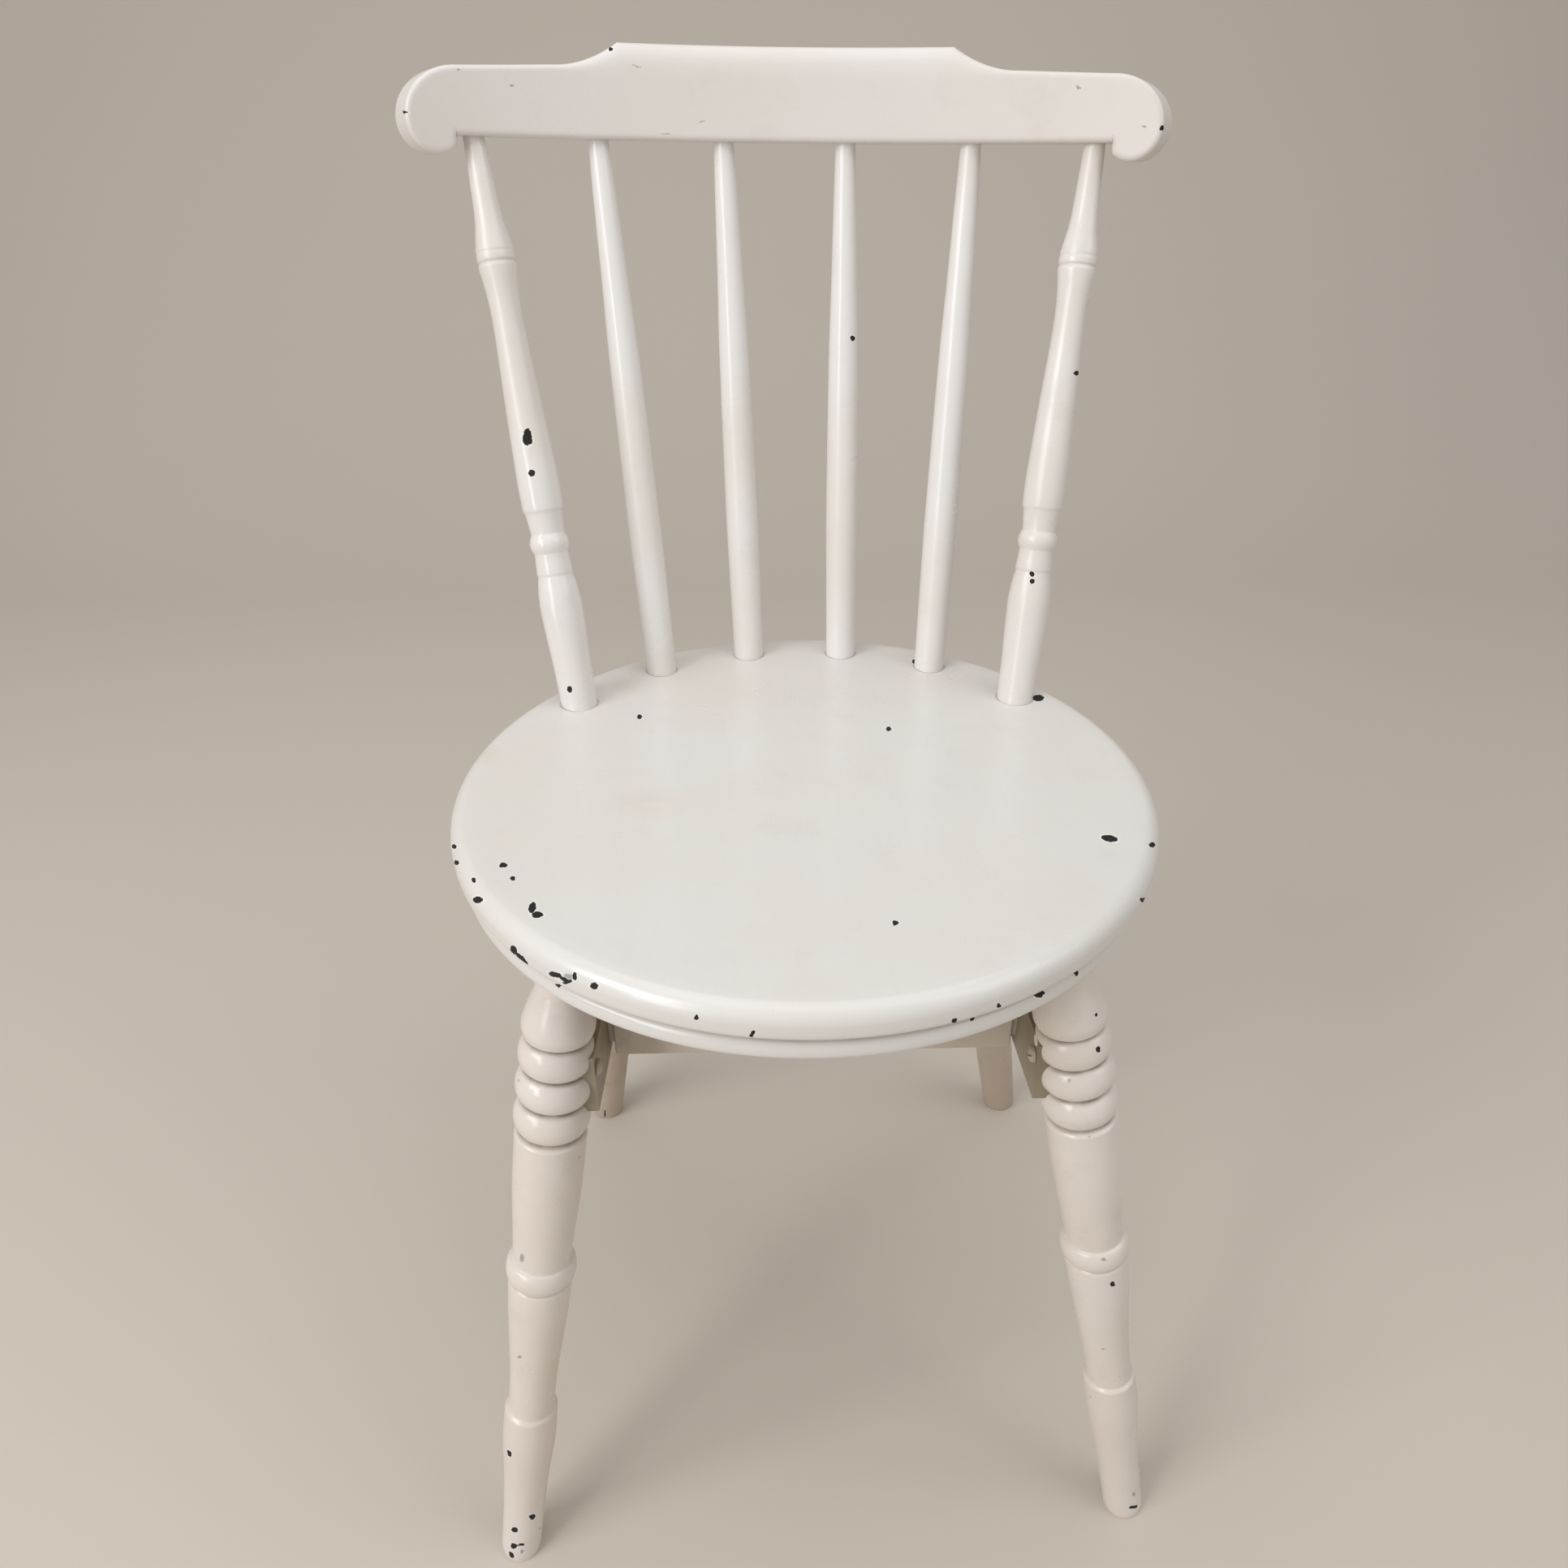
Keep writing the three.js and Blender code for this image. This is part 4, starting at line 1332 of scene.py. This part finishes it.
@dataclass(frozen=True)
class Legs:
    """The four splayed legs."""

    segments: int = 72

    def build(self, site: Site) -> None:
        """Make the legs.

        Args:
            site: Where the chair stands.
        """
        for side, word in ((-1, "left"), (1, "right")):
            for plan, kind, outline, paint in (
                    (FRONT_LEG, "front_leg", front_leg, FRONT_LEG_PAINT),
                    (REAR_LEG, "rear_leg", rear_leg, REAR_LEG_PAINT)):
                top, foot = plan.ends(side)
                name = f"{kind}_{word}"
                piece = TurnedPiece(
                    name, f"{kind}_paint", top, foot, outline, self.segments, True).build(site)
                site.dress(piece, paint, MARKS.get(name, ()))


def crest_matrix() -> Matrix:
    """Return the crest rail's frame: its origin under its middle, halfway through, in millimetres.

    Returns:
        The frame as a matrix.
    """
    back = SEAT_RADIUS - STICK_INSET + BACK_HEIGHT * math.tan(math.radians(BACK_RECLINE))
    turn = (Matrix.Rotation(-math.radians(CREST_LEAN), 4, "X")
            @ Matrix.Rotation(math.radians(CREST_DROP_ANGLE), 4, "Y"))
    return Matrix.Translation((CREST_SHIFT, back, SEAT_HEIGHT + BACK_HEIGHT)) @ turn


def bent(along: float, height: float, depth: float) -> Vector:
    """Return a point of the bent rail: arc length, height, and depth behind its middle.

    Args:
        along: The arc length from the rail's middle.
        height: The height.
        depth: How far behind the rail's middle it lies.

    Returns:
        The point, in the rail's frame.
    """
    angle = along / CREST_ARC_RADIUS
    radius = CREST_ARC_RADIUS + depth
    return Vector((radius * math.sin(angle), radius * math.cos(angle) - CREST_ARC_RADIUS, height))


@dataclass(frozen=True)
class Sticks:
    """The two posts and four spindles of the back."""

    segments: int = 48

    @staticmethod
    def ends(side: int, rank: int) -> tuple[Vector, Vector]:
        """Return a stick's top and foot points, rank 0 next to the middle.

        Args:
            side: -1 on the left and 1 on the right.
            rank: 0 next to the middle, and 2 for the post.

        Returns:
            The top and the foot.
        """
        angle = math.radians(STICK_ANGLES[rank])
        radius = SEAT_RADIUS - STICK_INSET
        foot = Vector((side * radius * math.sin(angle), radius * math.cos(angle), SEAT_HEIGHT))
        return crest_matrix() @ bent(side * CREST_STICK_PLACES[rank], 0, 0), foot

    def feet(self) -> list[tuple[Vector, float]]:
        """Return where each stick meets the seat, and its radius there."""
        return [(self.ends(side, rank)[1], STICK_FOOT_RADII[rank])
                for side in (-1, 1) for rank in (0, 1, 2)]

    def build(self, site: Site) -> None:
        """Make the sticks.

        Args:
            site: Where the chair stands.
        """
        for side, word in ((-1, "left"), (1, "right")):
            for rank, kind in enumerate(("inner", "outer", "post")):
                top, foot = self.ends(side, rank)
                post = kind == "post"
                name = f"back_post_{word}" if post else f"spindle_{word}_{kind}"
                slot = "post_paint" if post else "spindle_paint"
                piece = TurnedPiece(
                    name, slot, top, foot, back_post if post else spindle, self.segments).build(site)
                site.dress(piece, POST_PAINT if post else SPINDLE_PAINT, MARKS.get(name, ()))


@dataclass(frozen=True)
class Station:
    """One place along the crest rail.

    Its top and bottom edge are given by arc length and height, and roll is its share of the
    platform's rounded front edge.
    """

    top: Vector
    bottom: Vector
    roll: float


@dataclass(frozen=True)
class CrestRail:
    """The bent rail: a raised platform, swept shoulders and an ear at each end.

    The sizes are in millimetres, apart from merge, the distance in metres within which points are one,
    and crease, the angle in degrees above which an edge shows.
    """

    thickness: float = 22.0
    board_height: float = 34.2
    end_height: float = 31.9
    platform_height: float = 46.0
    platform_half: float = 93.0
    shoulder_run: float = 37.0
    ear_beyond_post: float = 37.6
    ear_drop: float = 9.0
    ear_radius: float = 16.0
    ear_corner: float = 30.0
    ear_turn: float = 0.94
    notch_beyond_post: float = 11.3
    eased_edge: float = 2.5
    roll_height: float = 15.0
    roll_depth: float = 7.0
    gap: float = 3.5
    rows: int = 30
    ear_steps: int = 22
    wall_steps: int = 3
    wall_gap: float = 0.6
    side_reach: float = 22.0
    merge: float = 2e-5
    crease: float = 50.0

    def right_half(self) -> list[Station]:
        """Return the stations from the rail's middle to its right end.

        Returns:
            The stations.
        """
        shoulder = self.platform_half + self.shoulder_run
        post = CREST_STICK_PLACES[2]
        notch = post + self.notch_beyond_post
        end = post + self.ear_beyond_post
        ear = Vector((end - self.ear_radius, self.ear_radius - self.ear_drop))
        corner = Vector((self.ear_corner, self.end_height - ear.y))
        start = end - corner.x
        stations = []

        def shares(run: float) -> list[float]:
            """Return even shares of a run, one gap apart, without its end."""
            count = math.ceil(run / self.gap)
            return [step / count for step in range(count)]

        for share in shares(self.platform_half):
            along = share * self.platform_half
            stations.append(Station(Vector((along, self.platform_height)), Vector((along, 0)), 1.0))
        for share in shares(self.shoulder_run * 2):
            rise = (1 - share) ** 2
            along = self.platform_half + self.shoulder_run * share
            height = self.board_height + (self.platform_height - self.board_height) * rise
            stations.append(Station(Vector((along, height)), Vector((along, 0)), rise))
        for share in shares(start - shoulder):
            along = shoulder + (start - shoulder) * share
            height = self.board_height + (self.end_height - self.board_height) * share
            low = shoulder + (notch - shoulder) * share
            stations.append(Station(Vector((along, height)), Vector((low, 0)), 0.0))
        turned = math.acos((notch - ear.x) / self.ear_radius)
        wall = ear.y - self.ear_radius * math.sin(turned)
        for step in range(self.wall_steps):
            stations.append(Station(Vector((start + step * self.wall_gap, self.end_height)),
                                    Vector((notch, wall * step / self.wall_steps)), 0.0))
        for step in range(self.ear_steps + 1):
            share = step / self.ear_steps
            above = (1 - share) * math.pi / 2 * self.ear_turn
            below = (share - 1) * turned
            stations.append(Station(
                Vector((start + corner.x * math.cos(above), ear.y + corner.y * math.sin(above))),
                Vector((ear.x + self.ear_radius * math.cos(below),
                        ear.y + self.ear_radius * math.sin(below))), 0.0))
        return stations

    def all_stations(self) -> list[Station]:
        """Return the stations from the left end to the right end.

        Returns:
            The stations.
        """
        right = self.right_half()
        left = [Station(Vector((-one.top.x, one.top.y)), Vector((-one.bottom.x, one.bottom.y)), one.roll)
                for one in reversed(right[1:])]
        return [*left, *right]

    @staticmethod
    def eased(distance: float, down: float, back: float) -> float:
        """Return how far a face lies back, a distance in from an edge rounded down by back.

        Args:
            distance: How far in from the edge the point is.
            down: How far in the rounding reaches.
            back: How far the edge lies back.

        Returns:
            How far the face lies back there.
        """
        if distance >= down:
            return 0.0
        share = 1 - distance / down
        return back * (1 - math.sqrt(max(0.0, 1 - share * share)))

    def face(self, mesh: bmesh.types.BMesh) -> tuple[DepthOf, DepthOf]:
        """Shape a flat grid into the rail's face, and say how far each point lies back.

        Args:
            mesh: An empty body, which gets the face.

        Returns:
            How far each point lies back on the front, and on the rear.
        """
        stations = self.all_stations()
        last = len(stations) - 1
        bmesh.ops.create_grid(mesh, x_segments=last, y_segments=self.rows, size=1)
        outline = [one.top for one in stations] + [one.bottom for one in reversed(stations)]
        sides = list(zip(outline, outline[1:] + outline[:1]))
        grime = mesh.verts.layers.float.new("grime")
        front: DepthOf = {}
        back: DepthOf = {}
        for vert in mesh.verts:
            one = stations[round((vert.co.x + 1) / 2 * last)]
            row = round((vert.co.y + 1) / 2 * self.rows) / self.rows
            share = 0.5 - 0.5 * math.cos(math.pi * row)
            share = 0.5 - 0.5 * math.cos(math.pi * share)
            point = one.bottom.lerp(one.top, share)
            near = [side for side in sides if abs(side[0].x - point.x) < self.side_reach]
            distance = min((self.to_side(point, side) for side in near), default=self.side_reach)
            eased = self.eased(distance, self.eased_edge, self.eased_edge)
            down = self.eased_edge + (self.roll_height - self.eased_edge) * one.roll
            deep = self.eased_edge + (self.roll_depth - self.eased_edge) * one.roll
            rolled = self.eased((one.top - point).length, down, deep) if one.roll else 0.0
            front[vert] = max(eased, rolled)
            back[vert] = eased
            vert.co = (point.x, -self.thickness / 2, point.y)
            vert[grime] = 0.0
        return front, back

    def thicken(self, mesh: bmesh.types.BMesh, front: DepthOf, back: DepthOf) -> None:
        """Give the face its thickness and its rounded edges, and bend it.

        Args:
            mesh: The body with the face.
            front: How far each point lies back on the front.
            back: How far it does on the rear.
        """
        grown = bmesh.ops.extrude_face_region(mesh, geom=list(mesh.faces), use_keep_orig=True)
        moved = [item for item in grown["geom"] if isinstance(item, bmesh.types.BMVert)]
        twins = {tuple(round(value, 4) for value in vert.co): vert for vert in front}
        for vert in moved:
            twin = twins[tuple(round(value, 4) for value in vert.co)]
            vert.co.y = self.thickness / 2 - back[twin]
        for vert, depth in front.items():
            vert.co.y += depth
        for vert in mesh.verts:
            vert.co = bent(vert.co.x, vert.co.z, vert.co.y)

    def build(self, site: Site) -> bpy.types.Object:
        """Make the rail from a grid that is shaped, thickened and bent.

        Args:
            site: Where the chair stands.

        Returns:
            The rail.
        """
        mesh = bmesh.new()
        self.thicken(mesh, *self.face(mesh))
        matrix = Matrix.Translation(site.at(Vector((0, 0, 0)))) @ Matrix.Scale(MM, 4) @ crest_matrix()
        bmesh.ops.transform(mesh, matrix=matrix, verts=mesh.verts)
        bmesh.ops.remove_doubles(mesh, verts=mesh.verts, dist=self.merge)
        bmesh.ops.recalc_face_normals(mesh, faces=mesh.faces)
        piece = add_piece("crest_rail_painted", mesh, ["crest_rail"], self.crease)
        site.dress(piece, CREST_PAINT, MARKS["crest_rail"])
        return piece

    @staticmethod
    def to_side(point: Vector, side: tuple[Vector, Vector]) -> float:
        """Return the distance from a point to one straight stretch of the outline.

        Args:
            point: The point.
            side: The stretch's two ends.

        Returns:
            The distance.
        """
        start, end = side
        run = end - start
        if run.length_squared < 1e-9:
            return (point - start).length
        share = clamp((point - start).dot(run) / run.length_squared)
        return (point - start - run * share).length


@dataclass(frozen=True)
class RailFrame:
    """The two side rails and two cross rails under the seat, and their four screws.

    Corners are eased where they are longer and sharper than the least given here, in millimetres and
    degrees. Faces within the flat angle of each other are one, and an edge above the crease angle shows.
    """

    ease: float = 0.9
    nose: float = 6.5
    shortest_corner: float = 8.0
    corner_angle: float = 40.0
    flat_angle: float = 1.0
    crease: float = 30.0

    def trim(self, mesh: bmesh.types.BMesh, side: str) -> None:
        """Cut a side rail's ends off a little beyond its screws.

        Args:
            mesh: The rail, in place.
            side: The side that the rail is on.
        """
        for end, way in (("front", -1), ("rear", 1)):
            low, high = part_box(f"rail_screw_{end}_{side}")
            cut = (low[1] + high[1]) / 2 + way * self.nose * MM
            bmesh.ops.bisect_plane(mesh, geom=[*mesh.verts, *mesh.edges, *mesh.faces],
                                   plane_co=(0, cut, 0), plane_no=(0, way, 0), clear_outer=True)
            close_cut(mesh)

    def board(self, site: Site, node: bpy.types.Object) -> bpy.types.Object:
        """Make a rail from a copy of its node, with eased edges.

        Args:
            site: Where the chair stands.
            node: The rail's CAD node, left as it is.

        Returns:
            The rail.
        """
        mesh = bmesh.new()
        mesh.from_mesh(node.data)
        bmesh.ops.transform(mesh, matrix=node.matrix_world, verts=mesh.verts)
        bmesh.ops.remove_doubles(mesh, verts=mesh.verts, dist=MERGE)
        side_rail = node.name.startswith("side_rail_")
        if side_rail:
            self.trim(mesh, node.name.removeprefix("side_rail_"))
        bmesh.ops.dissolve_limit(mesh, angle_limit=math.radians(self.flat_angle), verts=mesh.verts,
                                 edges=mesh.edges)
        shortest = self.shortest_corner * MM
        sharp = math.radians(self.corner_angle)
        corners = [edge for edge in mesh.edges
                   if edge.calc_face_angle(0.0) > sharp and edge.calc_length() > shortest]
        bmesh.ops.bevel(mesh, geom=corners, offset=self.ease * MM, segments=3, profile=0.5,
                        affect="EDGES", material=-1, clamp_overlap=True)
        bmesh.ops.triangulate(mesh, faces=[face for face in mesh.faces if len(face.verts) > 4])
        bmesh.ops.recalc_face_normals(mesh, faces=mesh.faces)
        mesh.verts.layers.float.new("grime")
        piece = add_piece(f"{node.name}_board", mesh, [node.name], self.crease)
        site.dress(piece, SIDE_RAIL_PAINT if side_rail else RAIL_PAINT)
        return piece

    def build(self, site: Site, nodes: dict[str, bpy.types.Object]) -> None:
        """Make the rails, and paint the screws over.

        Args:
            site: Where the chair stands.
            nodes: The CAD nodes by name.
        """
        for name in ("side_rail_left", "side_rail_right", "cross_rail_front", "cross_rail_rear"):
            self.board(site, nodes[name])
        paint = SCREW_PAINT.build()
        for end in ("front", "rear"):
            for side in ("left", "right"):
                for place in nodes[f"rail_screw_{end}_{side}"].material_slots:
                    place.material = paint


# Studio


@dataclass(frozen=True)
class SoftLight:
    """A soft lamp: where it stands, what it faces, its size and its power."""

    name: str
    place: tuple[float, float, float]
    size: tuple[float, float]
    power: float
    colour: Colour = (1.0, 1.0, 1.0)
    aim: tuple[float, float, float] = (0.0, 0.0, 0.45)

    def build(self) -> None:
        """Make the lamp."""
        data = bpy.data.lights.new(self.name, "AREA")
        data.shape = "RECTANGLE"
        data.size, data.size_y = self.size
        data.energy = self.power
        data.color = self.colour
        lamp = bpy.data.objects.new(self.name, data)
        lamp.location = self.place
        facing = Vector(self.aim) - Vector(self.place)
        lamp.rotation_euler = facing.to_track_quat("-Z", "Y").to_euler()
        bpy.context.scene.collection.objects.link(lamp)


@dataclass(frozen=True)
class Studio:
    """A plain pale sweep of floor and wall, and soft light from a window side and above."""

    half_width: float = 6.0
    front: float = -4.0
    back: float = 2.6
    height: float = 3.4
    bend: float = 1.2
    floor_colour: Colour = linear(205, 196, 184)
    floor_roughness: float = 0.85
    cloud_scale: float = 1.4
    cloud_shade: float = 0.97
    bend_steps: int = 16
    world_colour: Colour = (0.985, 0.99, 1.0)
    world_strength: float = 0.4
    lights: tuple[SoftLight, ...] = (
        SoftLight("window_light", (-2.1, -1.5, 1.9), (1.5, 1.3), 37.0, (0.985, 0.99, 1.0)),
        SoftLight("low_window_light", (-1.35, -1.6, 0.85), (0.5, 0.8), 6.0, (0.985, 0.99, 1.0)),
        SoftLight("room_light", (1.9, -0.9, 2.2), (1.6, 1.6), 13.0, (1.0, 0.985, 0.965)),
        SoftLight("ceiling_light", (0.0, -0.2, 2.7), (2.4, 2.4), 22.0, (0.99, 0.99, 1.0)),
    )

    def sweep(self) -> bpy.types.Object:
        """Make the sweep of floor and wall.

        Returns:
            The sweep.
        """
        mesh = bmesh.new()
        points = [(self.front, 0.0), (self.back - self.bend, 0.0)]
        for step in range(1, self.bend_steps + 1):
            angle = math.pi / 2 * step / self.bend_steps
            points.append((self.back - self.bend + self.bend * math.sin(angle),
                           self.bend * (1 - math.cos(angle))))
        points.append((self.back, self.height))
        verts = [mesh.verts.new((-self.half_width, y, z)) for y, z in points]
        edges = [mesh.edges.new(pair) for pair in zip(verts, verts[1:])]
        grown = bmesh.ops.extrude_edge_only(mesh, edges=edges)
        moved = [item for item in grown["geom"] if isinstance(item, bmesh.types.BMVert)]
        bmesh.ops.translate(mesh, vec=(2 * self.half_width, 0, 0), verts=moved)
        bmesh.ops.recalc_face_normals(mesh, faces=mesh.faces)
        for face in mesh.faces:
            face.smooth = True
        data = bpy.data.meshes.new("studio_sweep")
        mesh.to_mesh(data)
        mesh.free()
        piece = bpy.data.objects.new("studio_sweep", data)
        bpy.context.scene.collection.objects.link(piece)
        return piece

    def floor_material(self) -> bpy.types.Material:
        """Make the sweep's plain matt finish.

        Returns:
            The finish.
        """
        material = bpy.data.materials.new("studio_floor")
        material.use_nodes = True
        shade = Shading(material.node_tree)
        shader = material.node_tree.nodes["Principled BSDF"]
        place = shade.node("ShaderNodeTexCoord").outputs["Object"]
        cloud = shade.noise(place, self.cloud_scale, 2.0).outputs["Fac"]
        darker = tuple(value * self.cloud_shade for value in self.floor_colour)
        shade.feed(shader.inputs["Base Color"], shade.mix(cloud, self.floor_colour, darker))
        shader.inputs["Roughness"].default_value = self.floor_roughness
        return material

    def build(self) -> None:
        """Make the studio."""
        self.sweep().data.materials.append(self.floor_material())
        world = bpy.context.scene.world or bpy.data.worlds.new("studio_world")
        bpy.context.scene.world = world
        world.use_nodes = True
        background = world.node_tree.nodes["Background"]
        background.inputs["Color"].default_value = (*self.world_colour, 1.0)
        background.inputs["Strength"].default_value = self.world_strength
        for light in self.lights:
            light.build()
        bpy.context.scene.view_settings.view_transform = "Standard"


def node_objects() -> dict[str, bpy.types.Object]:
    """Return the CAD nodes' objects by name."""
    return {piece.name: piece for piece in bpy.context.scene.objects if piece.type == "MESH"}


def main() -> None:
    """Build the chair's looks over its frame."""
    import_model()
    nodes = node_objects()
    low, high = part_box("seat")
    seat_middle = Vector(((low[0] + high[0]) / 2, (low[1] + high[1]) / 2, high[2]))
    VIEW.make(seat_middle)
    site = Site(seat_middle, VIEW.place(seat_middle))
    log.info("seat middle at %s", tuple(seat_middle))
    Studio().build()
    sticks = Sticks()
    Seat().build(site, sticks.feet())
    Legs().build(site)
    sticks.build(site)
    CrestRail().build(site)
    RailFrame().build(site, nodes)


if __name__ == "__main__":
    logging.basicConfig(level=logging.INFO, format="%(message)s")
    main()
